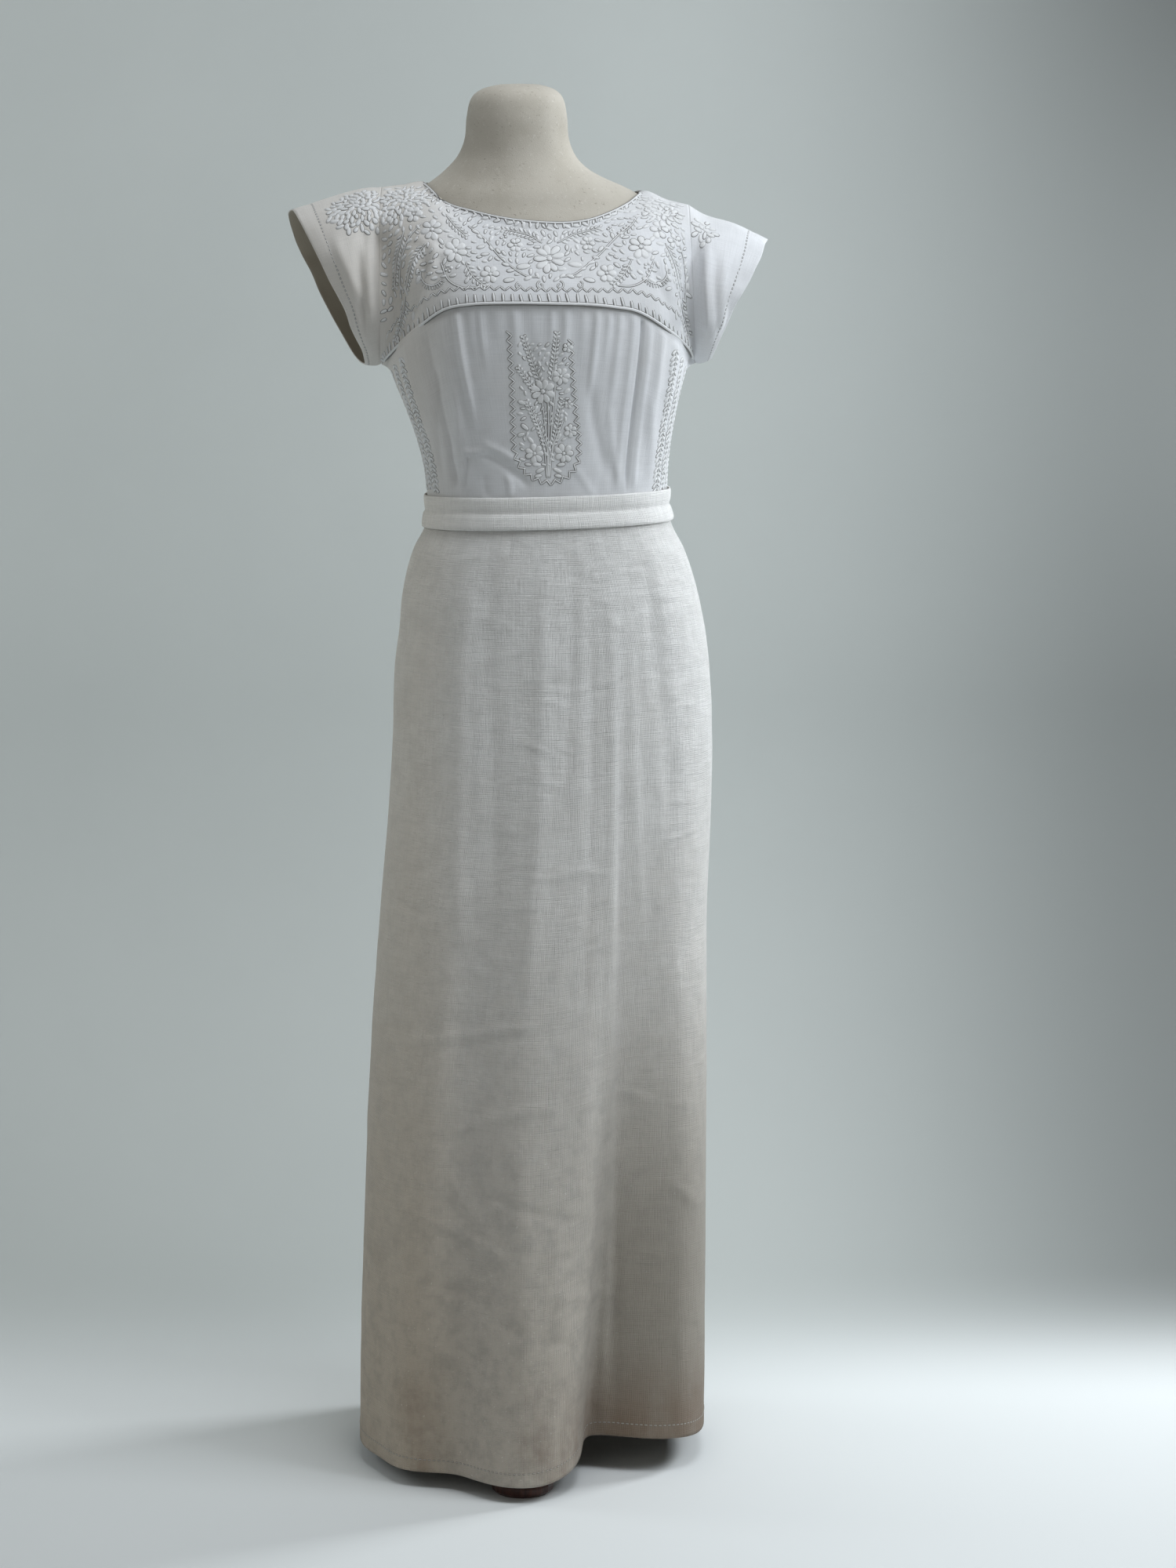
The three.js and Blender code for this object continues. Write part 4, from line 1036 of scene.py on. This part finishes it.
class Stitching:
    """Raised thread on one panel, gathered as closed bodies in one mesh."""

    # The rings of a padded leaf: share of its size, extra size in mm, lift, darkness of the painted shade at
    # its foot.
    PAD_RINGS = (
        (1.0, PAINTED_SHADE_RIM, 0.0, 1.0), (1.0, PAINTED_SHADE_RIM, 0.07, 1.0), (1.0, 0.0, 0.12, 1.0),
        (0.92, 0.0, 0.62, 0.1), (0.66, 0.0, 0.94, 0.0), (0.25, 0.0, 1.0, 0.0),
    )
    # The section of a laid thread: across in radii, extra in mm, up in radii, darkness of the painted shade
    # at its foot.
    STRAND_SECTION = (
        (1.25, 0.55, -0.6, 1.0), (1.25, 0.5, 0.08, 1.0), (1.1, 0.0, 0.14, 1.0), (0.8, 0.0, 0.75, 0.1),
        (0, 0.0, 1.1, 0.0),
        (-0.8, 0.0, 0.75, 0.1), (-1.1, 0.0, 0.14, 1.0), (-1.25, -0.5, 0.08, 1.0), (-1.25, -0.55, -0.6, 1.0),
    )

    def __init__(self, shell, view, seed):
        self.shell = shell
        self.tree = shell["tree"]
        self.look, self.across, self.up = (Vector(axis) for axis in view)
        self.random = random.Random(seed)
        self.vertices, self.faces, self.marks, self.taken = [], [], [], []

    def spot(self, place):
        """The point and normal of the cloth behind a place of the design."""
        start = self.across * place[0] + self.up * place[1] - self.look * VIEW_DISTANCE
        hit, normal, _, _ = self.tree.ray_cast(start, self.look)
        return None if hit is None else (hit, normal)

    def pressed(self, point, normal):
        """The point and normal of the cloth just under a point."""
        hit, found, _, _ = self.tree.ray_cast(point + normal * PRESS_REACH, -normal, 2 * PRESS_REACH)
        if hit is None:
            hit, found, _, _ = self.tree.find_nearest(point)
        return hit, found

    def heading(self, angle):
        return self.across * math.cos(angle) + self.up * math.sin(angle)

    def body(self, rings, marks):
        """A closed body from rings of points, with its first and last ring capped."""
        base = len(self.vertices)
        count = len(rings[0])
        for ring, ring_marks in zip(rings, marks):
            self.vertices.extend(ring)
            self.marks.extend(ring_marks)
        last = base + (len(rings) - 1) * count
        for a in range(base, last, count):
            b = a + count
            for j in range(count):
                right = (j + 1) % count
                self.faces.append((a + j, a + right, b + right, b + j))
        self.faces.append(tuple(base + j for j in reversed(range(count))))
        self.faces.append(tuple(last + j for j in range(count)))

    def pad(self, point, normal, direction, length, width, height, taper, corners=10):
        """One satin-stitched leaf or petal, domed, with its middle at a point."""
        along = (direction - normal * direction.dot(normal)).normalized()
        across = normal.cross(along)
        rings, marks = [], []
        # how strong the painted shade round this leaf's foot is
        foot_shade = self.random.uniform(0.45, 1.0)
        for size, grow, lift, foot in self.PAD_RINGS:
            ring, ring_marks = [], []
            for j in range(corners):
                turn = 2 * math.pi * j / corners
                x = (0.5 * length * size + grow) * math.cos(turn)
                y = (0.5 * width * size + grow) * math.sin(turn) * (1 + taper * math.cos(turn))
                hit, found = self.pressed(point + along * x + across * y, normal)
                ring.append(hit + found * (lift * height * PAD_LIFT if lift > 0 else -STITCH_SINK))
                ring_marks.append((y * MM, x * MM, foot * foot_shade))
            rings.append(ring)
            marks.append(ring_marks)
        self.body(rings, marks)

    def leaf(self, place, degrees, length, width, height=1.1, taper=0.15):
        """A leaf or petal at a place of the design, pointing at an angle."""
        found = self.spot(place)
        if found:
            self.taken.append((found[0], 0.5 * (length + width)))
            self.pad(*found, self.heading(math.radians(degrees)), length, width, height, taper)

    def strand(self, spots, radius):
        """A laid thread along points of the cloth, each with its normal."""
        rings, marks = [], []
        run = 0.0
        last = len(spots) - 1
        for i, (point, normal) in enumerate(spots):
            after = spots[min(i + 1, last)][0]
            ahead = after - spots[max(i - 1, 0)][0]
            if ahead.length < 1e-6:
                return
            side = ahead.normalized().cross(normal).normalized()
            size = radius * (0.5 if i in (0, last) else 1.0)
            ring, ring_marks = [], []
            for across, extra, lift, foot in self.STRAND_SECTION:
                ring.append(point + side * (size * across + extra) + normal * (size * lift))
                # the third mark is the painted shade at the thread's foot
                ring_marks.append((run * MM, across * radius * MM, foot))
            rings.append(ring)
            marks.append(ring_marks)
            run += (after - point).length
        self.body(rings, marks)

    def line(self, places, radius=0.6, step=2.2):
        """A laid thread through places of the design, on a smooth curve."""
        spots = [spot for spot in map(self.spot, smooth_path(places, step)) if spot]
        if len(spots) > 1:
            self.strand(spots, radius)

    def tooth(self, point, normal, direction, length, radius):
        """One straight stitch that starts at a point on the cloth."""
        direction = (direction - normal * direction.dot(normal)).normalized()
        spots = [self.pressed(point + direction * length * share, normal) for share in (0, 0.33, 0.67, 1)]
        self.strand(spots, radius)

    def flower(self, place, radius, petals, turn):
        """An open flower: padded petals round a knotted middle."""
        for index in range(int(petals)):
            degrees = turn + 360 * index / petals + self.random.uniform(-5, 5)
            reach = radius * self.random.uniform(0.56, 0.64)
            length = radius * self.random.uniform(0.80, 0.95)
            width = min(2.0 * math.pi * reach / petals * 1.05, 0.85 * length)
            self.leaf(polar(place, reach, math.radians(degrees)), degrees, length, width, 1.2, 0.3)
        self.leaf(place, turn, 0.36 * radius, 0.36 * radius, 1.7, 0.0)

    def frond(self, places, leaf_length=6.5, spacing=4.6):
        """A stem with pairs of small leaves that point along it."""
        width = 2.2
        self.line(places, 0.5)
        path = smooth_path(places, spacing)
        for i in range(1, len(path)):
            heading = math.degrees(math.atan2(path[i][1] - path[i - 1][1], path[i][0] - path[i - 1][0]))
            size = leaf_length * (1 - 0.45 * i / len(path)) * self.random.uniform(0.9, 1.1)
            for hand in (-1, 1):
                degrees = heading + hand * (48 + self.random.uniform(-6, 6))
                self.leaf(polar(path[i], 0.5 * size + 0.8, math.radians(degrees)), degrees, size, width, 0.9)
        self.leaf(path[-1], heading, leaf_length * 0.7, width, 0.9)

    def fill(self, drops, shares, spacing, sizes, within=None):
        """Small leaves wherever a panel is still bare, turning slowly along it."""
        outer, normals = self.shell["outer"], self.shell["normals"]
        rows, columns = outer.shape[:2]
        for row in range(int(drops[0] * rows), int(drops[1] * rows), max(1, int(spacing / 2.4))):
            for column in range(int(shares[0] * columns), int(shares[1] * columns), 2):
                point = Vector(outer[row, column])
                size = self.random.uniform(*sizes)
                if within and not within(point.x, point.z):
                    continue
                if any((point - other).length < 0.5 * (size + reach) for other, reach in self.taken):
                    continue
                turn = 1.6 + 1.3 * math.sin(0.045 * point.x + 0.07 * point.z) + self.random.uniform(-0.5, 0.5)
                normal = Vector(normals[row, column])
                self.pad(point, normal, self.heading(turn), size, 0.42 * size, 1.0, 0.2, corners=8)
                self.taken.append((point, 0.9 * size))

    def spiral(self, place, radius, hand):
        """A tendril that curls inwards."""
        places = []
        for step in range(15):
            share = step / 14
            turn = hand * share * 4.4 * math.pi / 2 + math.pi / 2
            places.append(polar(place, radius * (1 - 0.78 * share), turn))
        self.line(places, 0.5, 1.4)

    def scallop(self, place, radius, start, end):
        """A half round edged with blanket stitch, its teeth pointing outwards."""
        angles = [math.radians(lerp(start, end, share)) for share in even(15)]
        self.line([polar(place, radius, angle) for angle in angles], 0.6, 1.6)
        for angle in angles:
            found = self.spot(polar(place, radius, angle))
            if found:
                self.tooth(*found, self.heading(angle), 0.42 * radius, 0.45)

    def berries(self, place, count, spread):
        """A loose group of small round knots."""
        size = 2.6
        for index in range(int(count)):
            angle = 2 * math.pi * index / count + self.random.uniform(-0.3, 0.3)
            self.leaf(polar(place, spread * self.random.uniform(0.6, 1.0), angle), 0, size, size, 1.2, 0.0)

    def herringbone(self, places, reach, step):
        """Crossed slanting stitches along a path of the design."""
        path = smooth_path(places, step)
        for i in range(1, len(path) - 1):
            ahead = np.subtract(path[i + 1], path[i - 1])
            ahead = ahead / np.linalg.norm(ahead)
            side = np.array([-ahead[1], ahead[0]]) * (1 if i % 2 else -1)
            start = np.array(path[i]) - side * reach - ahead * 0.45 * step
            end = np.array(path[i]) + side * reach + ahead * 0.75 * step
            self.line([start, end], 0.65, 2.0)

    def done(self, name, material=thread):
        vertices = [tuple(point) for point in self.vertices]
        mesh_object(name, vertices, self.faces, material, {"stitch": self.marks})


def edge_run(shell, row, start, end, step):
    """Points, normals and upward directions along a row of a panel, a step apart."""
    points = shell["outer"][row, start:end]
    above = shell["outer"][row - 4 if row >= 4 or row < 0 else row + 4, start:end]
    along = run_along(points)
    at = np.arange(0.5 * step, along[-1], step)
    found = sampled(at, along, points)
    normals = unit(sampled(at, along, shell["normals"][row, start:end]))
    return found, normals, unit(sampled(at, along, above) - found)


def blanket_edge(work, shell, row, start, end, step, length, cord_radius, lean):
    """Blanket stitch along a row of a panel: a laid cord with teeth that point into the panel."""
    inset = 0.9
    cord = zip(*edge_run(shell, row, start, end, 2.4))
    work.strand([(Vector(p + d * inset), Vector(n)) for p, n, d in cord], cord_radius)
    points, normals, inward = edge_run(shell, row, start, end, step)
    sideways = np.cross(normals, inward)
    for p, n, d, s in zip(points, normals, inward, sideways):
        leaning = lean + work.random.uniform(-0.12, 0.12)
        size = length * work.random.uniform(0.82, 1.15)
        work.tooth(Vector(p + d * inset), Vector(n), Vector(d + s * leaning), size, 0.55 * cord_radius + 0.35)


def zigzag_row(work, shell, row, start, end, step, reach):
    """A zigzag of straight stitches along a row of a panel."""
    corners = []
    for i, (p, n, d) in enumerate(zip(*edge_run(shell, row, start, end, step))):
        corners.append((Vector(p + d * reach * (1 if i % 2 else -1)), Vector(n)))
    for (p, n), (q, _) in zip(corners, corners[1:]):
        work.tooth(p, n, q - p, (q - p).length, 0.6)


# What is worked on a yoke: the kind of motif, its place and its size.
# u v radius petals
YOKE_FLOWERS = number_rows("""
    2 1322 16 9
    -97 1330 12.5 7
    98 1334 12.5 7
    -60 1306 9.5 6
    62 1307 9.5 6
    -122 1352 11 7
    118 1352 10 6
    -34 1336 7.5 6
    42 1338 7.5 6
    -142 1368 9 6
    134 1340 7.5 5
""")
YOKE_FRONDS = paths("""
    -6 1338  -22 1347  -46 1352
    10 1338  28 1347  54 1353
    -86 1318  -78 1304  -66 1294
    88 1320  80 1306  70 1296
    -128 1338  -142 1318  -150 1288
    124 1338  134 1316  140 1290
    -108 1368  -96 1354  -86 1346
    96 1368  88 1356  78 1348
    -152 1350  -160 1320  -162 1292
    -150 1282  -154 1260  -162 1236
    140 1284  144 1262  150 1240
""")
YOKE_VINES = paths("""
    -84 1356  -66 1342  -48 1322  -24 1305  -8 1303
    86 1357  70 1342  52 1324  30 1307  14 1303
    -112 1318  -104 1300  -88 1292  -70 1293
    112 1320  104 1302  90 1294  74 1294
    -134 1358  -148 1340  -156 1312  -156 1280
    128 1352  140 1334  146 1306  146 1276
""")
# u v angle length width
YOKE_LEAVES = number_rows("""
    -25 1314 188 15 6.5
    29 1316 -8 15 6.5
    -20 1302 205 9 4
    24 1304 -20 9 4
    -44 1316 150 8 3.6
    46 1318 30 8 3.6
    -52 1330 120 8 3.6
    56 1332 60 8 3.6
    -70 1334 200 9 4
    74 1336 -20 9 4
    -76 1350 140 9 4
    82 1344 20 8 3.6
    -84 1300 240 8 3.6
    90 1304 -50 8 3.6
    -40 1300 190 12 5
    44 1300 -12 12 5
    -112 1340 120 9 4
    110 1342 50 9 4
    -136 1300 250 9 4
    128 1302 -60 9 4
    -142 1262 250 9 4
    136 1262 -60 9 4
    -148 1248 255 9 4
    142 1246 -60 9 4
    -12 1348 130 7 3
    18 1349 50 7 3
    -60 1322 60 7 3.2
    64 1322 120 7 3.2
""")
# u v radius hand
YOKE_SPIRALS = number_rows("""
    -7 1294.5 4.6 1
    13 1294.5 4.6 -1
    -30 1294 3.6 1
    34 1295 3.6 -1
""")
# u v radius start end, in degrees
YOKE_SCALLOPS = number_rows("""
    -122 1306 12 170 330
    114 1308 12 210 370
""")
# u v count spread
YOKE_BERRIES = number_rows("""
    -104 1312 5 4
    106 1314 5 4
    -46 1344 4 3
    66 1352 4 3
    -132 1326 4 3.5
""")


def embroider_yoke(work, fit):
    """The yoke's flowers. fit moves a place of the design on to this panel."""
    for u, v, radius, petals in YOKE_FLOWERS:
        work.flower(fit(u, v), radius, petals, 20 * petals)
    for places in YOKE_FRONDS:
        work.frond([fit(u, v) for u, v in places])
    for places in YOKE_VINES:
        work.line([fit(u, v) for u, v in places])
    for u, v, *leaf in YOKE_LEAVES:
        work.leaf(fit(u, v), *leaf)
    for u, v, *spiral in YOKE_SPIRALS:
        work.spiral(fit(u, v), *spiral)
    for u, v, *scallop in YOKE_SCALLOPS:
        work.scallop(fit(u, v), *scallop)
    for u, v, *berries in YOKE_BERRIES:
        work.berries(fit(u, v), *berries)


def edge_of_yoke(work, shell, neck_from, neck_to):
    """The stitched edges of a yoke: its seam, its neckline and the zigzag between."""
    rows, columns = shell["outer"].shape[:2]
    blanket_edge(work, shell, -1, 2, columns - 2, step=9.8, length=10.5, cord_radius=1.4, lean=0.22)
    first = int(neck_from * (columns - 1)) + 1
    last = int(neck_to * (columns - 1))
    blanket_edge(work, shell, 0, first, last, step=9.0, length=5.6, cord_radius=0.9, lean=0.3)
    zigzag_row(work, shell, int(0.84 * rows), 6, columns - 6, step=5.4, reach=2.5)


FRONT_SEAM = 1275          # the height of the yoke's seam in the design
BACK_SEAM = 1266
BACK_STRETCH = 1.37


def on_front(u, v):
    return u, v


def on_back(u, v):
    return -8 - 0.95 * u, BACK_SEAM + (v - FRONT_SEAM) * BACK_STRETCH


for name, view, seed, fit, neck in (
        ("yoke_front", FRONT_VIEW, 101, on_front, (2 / 12, 10 / 12)),
        ("yoke_back", BACK_VIEW, 102, on_back, (2 / 9, 7 / 9))):
    work = Stitching(cloth[name], view, seed)
    embroider_yoke(work, fit)
    work.fill(drops=(0.1, 0.78), shares=(0.03, 0.97), spacing=6, sizes=(5.5, 9))
    edge_of_yoke(work, cloth[name], *neck)
    work.done("embroidery_" + name)


GOLDEN_ANGLE = 2.39996


def cluster(work, middle, width, depth, count):
    """Leaves packed over an oval, as on the shoulders."""
    for index in range(count):
        turn = index * GOLDEN_ANGLE
        reach = math.sqrt((index + 0.5) / count)
        u = middle[0] + 0.5 * width * reach * math.cos(turn)
        v = middle[1] + 0.5 * depth * reach * math.sin(turn)
        degrees = math.degrees(turn) + work.random.uniform(-40, 40)
        work.leaf((u, v), degrees, work.random.uniform(6.5, 10), work.random.uniform(3.4, 5))


# The shoulders: dense leaves that run from the yoke on to the sleeve, front and back.
for seed, (node, end, (x, y, z), width, depth, count) in enumerate((
        ("yoke_front", "_left", (-155, -45, 1380), 58, 54, 56),
        ("yoke_front", "_right", (122, -48, 1368), 40, 40, 26),
        ("yoke_back", "_left", (-155, 45, 1380), 58, 54, 56),
        ("yoke_back", "_right", (122, 48, 1368), 40, 40, 26),
        ("sleeve_left", "_front", (-201, -38, 1369), 70, 60, 88),
        ("sleeve_left", "_back", (-201, 38, 1369), 70, 60, 78),
        ("sleeve_right", "_front", (166, -42, 1350), 26, 34, 16),
        ("sleeve_right", "_back", (166, 42, 1350), 26, 34, 16)), 111):
    view = TOP_VIEW if y < 0 else BACK_TOP_VIEW
    up = view[2]
    work = Stitching(cloth[node], view, seed)
    cluster(work, (x, y * up[1] + z * up[2]), width, depth, count)
    work.done("embroidery_" + node + end)

# The bouquet on the bodice, inside its outline of herringbone stitch.
BOUQUET_OUTLINE = paths("-40.5 1250  -38.5 1215  -37 1180  -36.5 1145  -34 1116  -22 1096  "
                        "0 1087  20 1093  31 1108  33 1130  29.5 1165  26.5 1200  24 1240")[0]
BOUQUET_FRONDS = paths("""
    -6 1190  -15 1212  -25 1240
    4 1196  7 1218  10 1244
    -10 1180  -20 1194  -30 1208
    0 1122  -10 1148  -22 1172
    4 1122  10 1146  14 1170
""")
BOUQUET_STEMS = paths("""
    0 1092  -1 1130  -6 1176
    1 1092  3 1130  8 1190
    -1 1092  -4 1124  -14 1160
    2 1092  5 1122  16 1152
    0 1092  1 1140  0 1186
""")
# u v radius petals
BOUQUET_FLOWERS = number_rows("""
    -5 1184 13 8
    14 1200 9 7
    21 1230 5 5
    -14 1118 10 7
    17 1118 10 7
    24 1142 7 6
    22 1170 4.5 5
""")
# u v angle length width
BOUQUET_LEAVES = number_rows("""
    -27 1172 160 9 4
    -24 1146 140 10 4.5
    -28 1138 200 8 4
    -8 1100 205 10 4
    10 1100 -25 10 4
    -10 1094 190 8 3.6
    11 1094 -10 8 3.6
    -12 1106 170 9 4
    14 1106 10 9 4
    -18 1132 130 8 3.6
    12 1136 60 8 3.6
    20 1184 40 8 3.4
    -18 1202 130 7 3
    8 1208 80 7 3
""")


def in_bouquet(x, z):
    return abs(x + 4) < 27 - 0.02 * (1240 - z) and 1102 < z < 1236


bouquet = Stitching(cloth["bodice_front"], FRONT_VIEW, 121)
bouquet.herringbone(BOUQUET_OUTLINE, reach=3.2, step=4.8)
for places in BOUQUET_FRONDS:
    bouquet.frond(places, leaf_length=5.5, spacing=4.4)
for places in BOUQUET_STEMS:
    bouquet.line(places)
for u, v, radius, petals in BOUQUET_FLOWERS:
    bouquet.flower((u, v), radius, petals, 15 * petals)
for u, v, *leaf in BOUQUET_LEAVES:
    bouquet.leaf((u, v), *leaf)
bouquet.fill(drops=(0.08, 0.9), shares=(0.38, 0.62), spacing=5, sizes=(4.5, 7.5), within=in_bouquet)
bouquet.done("embroidery_bouquet")


def side_chain(work, shell, column, start, end):
    """A column of small leaves down the side of a bodice panel."""
    points = shell["outer"][start:end, column]
    along = run_along(points)
    at = np.arange(2, along[-1], 5.6)
    places = sampled(at, along, points)
    outward = unit(sampled(at, along, shell["normals"][start:end, column]))
    work.strand([(Vector(p), Vector(n)) for p, n in zip(places, outward)], 0.5)
    for p, q, n in zip(places, places[1:], outward):
        down = Vector(q - p).normalized()
        normal = Vector(n)
        side = normal.cross(down)
        for hand in (-1, 1):
            heading = (down * 0.7 + side * hand * (0.9 + work.random.uniform(-0.1, 0.2))).normalized()
            size = work.random.uniform(5.5, 9)
            hit, found = work.pressed(Vector(p) + heading * (0.5 * size + 0.6), normal)
            work.pad(hit, found, heading, size, 3.2, 1.0, 0.1, corners=8)


for face, seed in (("front", 131), ("back", 132)):
    shell = cloth["bodice_" + face]
    work = Stitching(shell, FRONT_VIEW, seed)
    for share in (0.05, 0.085, 0.12, 0.88, 0.915, 0.95):
        side_chain(work, shell, int(share * (shell["outer"].shape[1] - 1)), start=8, end=84)
    work.done("embroidery_side_chains_" + face)


def hem_stitches(work, shell, height, step):
    """Running stitches at a height above the last row of a panel."""
    outer = shell["outer"]
    to_edge = np.linalg.norm(outer - outer[-1:], axis=-1).mean(axis=1)
    row = int(np.argmin(abs(to_edge - height)))
    points, normals, _ = edge_run(shell, row, 0, outer.shape[1], step)
    for p, q, n in zip(points, points[1:], normals):
        heading = Vector(q - p)
        work.tooth(Vector(p), Vector(n), heading, 0.62 * heading.length, 0.28)


for name, height, step, seed, material, slot in (
        ("skirt_front", 16, 5.2, 141, hem_thread, "linen"),
        ("skirt_back", 16, 5.2, 142, hem_thread, "linen"),
        ("sleeve_left", 14, 4.6, 143, thread, "cotton"),
        ("sleeve_right", 13, 4.6, 144, thread, "cotton")):
    work = Stitching(cloth[name], FRONT_VIEW, seed)
    hem_stitches(work, cloth[name], height, step)
    work.done("hem_stitches_" + name, material)

# ---------------- the form and its stand


def form_piece():
    """The form as one smooth closed body."""
    z = lerp(FORM_SECTIONS["z"][0], FORM_SECTIONS["z"][-1], even(120) ** 1.25)
    columns = 72
    angle = 2 * np.pi * np.arange(columns) / columns
    rings = section_point(through(FORM_SECTIONS, "z", z[:, None] + 0 * angle), angle[None] + 0 * z[:, None])
    crown = rings[0].mean(0) + (0, 0, CROWN_RISE)
    base = rings[-1].mean(0)
    vertices = np.concatenate([rings.reshape(-1, 3), [crown, base]])
    faces = []
    last = (len(z) - 1) * columns
    for upper in range(0, last, columns):
        lower = upper + columns
        for j in range(columns):
            right = (j + 1) % columns
            faces.append((upper + j, lower + j, lower + right, upper + right))
    for j in range(columns):
        right = (j + 1) % columns
        faces.append((len(vertices) - 2, j, right))
        faces.append((len(vertices) - 1, last + right, last + j))
    piece = mesh_object("dress_form", vertices, faces, canvas)
    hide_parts("form_torso")


form_piece()
for cad_name, cad_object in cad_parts.items():
    if cad_name.startswith(("stand_", "leg_", "foot_")):
        cad_object.data.materials.clear()
        cad_object.data.materials.append(wood)

# ---------------- camera, light and stage

# Read off the photograph, which is 1500 x 2000 pixels.
PHOTO_HEIGHT = 2000
FOCAL_PIXELS = 5057
HORIZON_RISE = 750         # how far the horizon lies above the middle of the frame, in pixels
CAMERA_PITCH = math.atan(HORIZON_RISE / FOCAL_PIXELS)
CAMERA_PLACE = (42.5, -4300, 1387)
SENSOR_HEIGHT = 36.0


def add_camera():
    data = bpy.data.cameras.new("camera")
    data.sensor_fit = "VERTICAL"
    data.sensor_height = SENSOR_HEIGHT
    data.lens = SENSOR_HEIGHT * FOCAL_PIXELS / PHOTO_HEIGHT
    data.dof.use_dof = False
    camera = bpy.data.objects.new("camera", data)
    camera.location = place(CAMERA_PLACE)
    camera.rotation_euler = (math.pi / 2 - CAMERA_PITCH, 0, 0)
    bpy.context.scene.collection.objects.link(camera)
    bpy.context.scene.camera = camera


def area_light(name, location, target, size, power, colour):
    data = bpy.data.lights.new(name, "AREA")
    data.shape = "RECTANGLE"
    data.size, data.size_y = size
    data.energy = power
    data.color = colour
    lamp = bpy.data.objects.new(name, data)
    lamp.location = location
    lamp.rotation_euler = (Vector(target) - Vector(location)).to_track_quat("-Z", "Y").to_euler()
    bpy.context.scene.collection.objects.link(lamp)


# The wall's low and right tones are painted shade.
BACKDROP = {"wall": (0.52, 0.555, 0.545), "wall_cloud": (0.61, 0.645, 0.632),
            "painted_shade_low": (0.44, 0.466, 0.457), "painted_shade_right": (0.165, 0.176, 0.172),
            "floor": (0.80, 0.83, 0.835)}


def backdrop():
    """A pale floor that sweeps up into a wall with painted shade towards its foot and its right, which is
    clear when seen from behind.
    """
    half_width, front, bend_start, bend, height = 6.0, -6.0, 0.45, 0.7, 4.5
    profile = [(front, 0.0), (bend_start, 0.0)]
    for step in range(1, 25):
        turn = math.pi / 2 * step / 24
        profile.append((bend_start + bend * math.sin(turn), bend * (1 - math.cos(turn))))
    profile.append((bend_start + bend, height))
    vertices = [(x, y, z) for y, z in profile for x in (-half_width, half_width)]
    faces = [(2 * i, 2 * i + 1, 2 * i + 3, 2 * i + 2) for i in range(len(profile) - 1)]
    mesh = bpy.data.meshes.new("backdrop")
    mesh.from_pydata(vertices, [], faces)
    mesh.polygons.foreach_set("use_smooth", [True] * len(faces))
    look = Look("backdrop", 0.9)
    place_in_row = look.place()
    x, y, z = (look.part(place_in_row, axis) for axis in "XYZ")
    wall = look.mixed(look.noise(place_in_row, 1.3, 4.0, 0.6), BACKDROP["wall"], BACKDROP["wall_cloud"])
    # painted shade: the wall darkens towards its foot and, strongly, towards its right
    wall = look.mixed(look.ramp(z, 1.1, 0.1), wall, BACKDROP["painted_shade_low"], amount=0.35)
    wall = look.mixed(look.ramp(x, 0.1, 0.95), wall, BACKDROP["painted_shade_right"])
    colour = look.mixed(look.ramp(y, 0.16, 0.66), BACKDROP["floor"], wall)
    look.tree.links.new(colour, look.shader.inputs["Base Color"])
    surface = look.add("MixShader", 0, {0: look.add("NewGeometry", "Backfacing"), 1: look.shader.outputs[0],
                                        2: look.add("BsdfTransparent", 0)})
    look.tree.links.new(surface, look.tree.nodes["Material Output"].inputs["Surface"])
    mesh.materials.append(look.material)
    sweep = bpy.data.objects.new("backdrop", mesh)
    bpy.context.scene.collection.objects.link(sweep)


def light_up():
    world = bpy.data.worlds.new("studio")
    world.use_nodes = True
    background = world.node_tree.nodes["Background"]
    background.inputs["Color"].default_value = (0.90, 0.89, 0.84, 1)
    background.inputs["Strength"].default_value = 0.17
    bpy.context.scene.world = world
    # name, place, target, size, power and colour
    area_light("key", (1.4, -0.66, 1.82), (0.08, 0.0, 1.08), (0.8, 0.8), 13.3, (0.90, 0.95, 1.0))
    area_light("side", (1.55, 0.8, 1.3), (0.0, 0.0, 0.05), (0.45, 0.45), 21, (0.93, 0.97, 1.0))
    area_light("top", (0.5, -0.7, 3.1), (0.1, -0.1, 1.2), (1.1, 1.1), 24.5, (0.92, 0.96, 1.0))
    area_light("fill", (-1.4, -3.4, 1.9), (0.0, 0.0, 0.9), (1.8, 1.8), 5.4, (1.0, 0.97, 0.93))
    area_light("wall", (-2.1, 0.55, 1.5), (-0.3, 1.1, 0.6), (0.9, 1.2), 9, (0.93, 0.98, 1.0))
    bpy.context.scene.view_settings.view_transform = "Standard"


add_camera()
backdrop()
light_up()

bpy.context.view_layer.update()
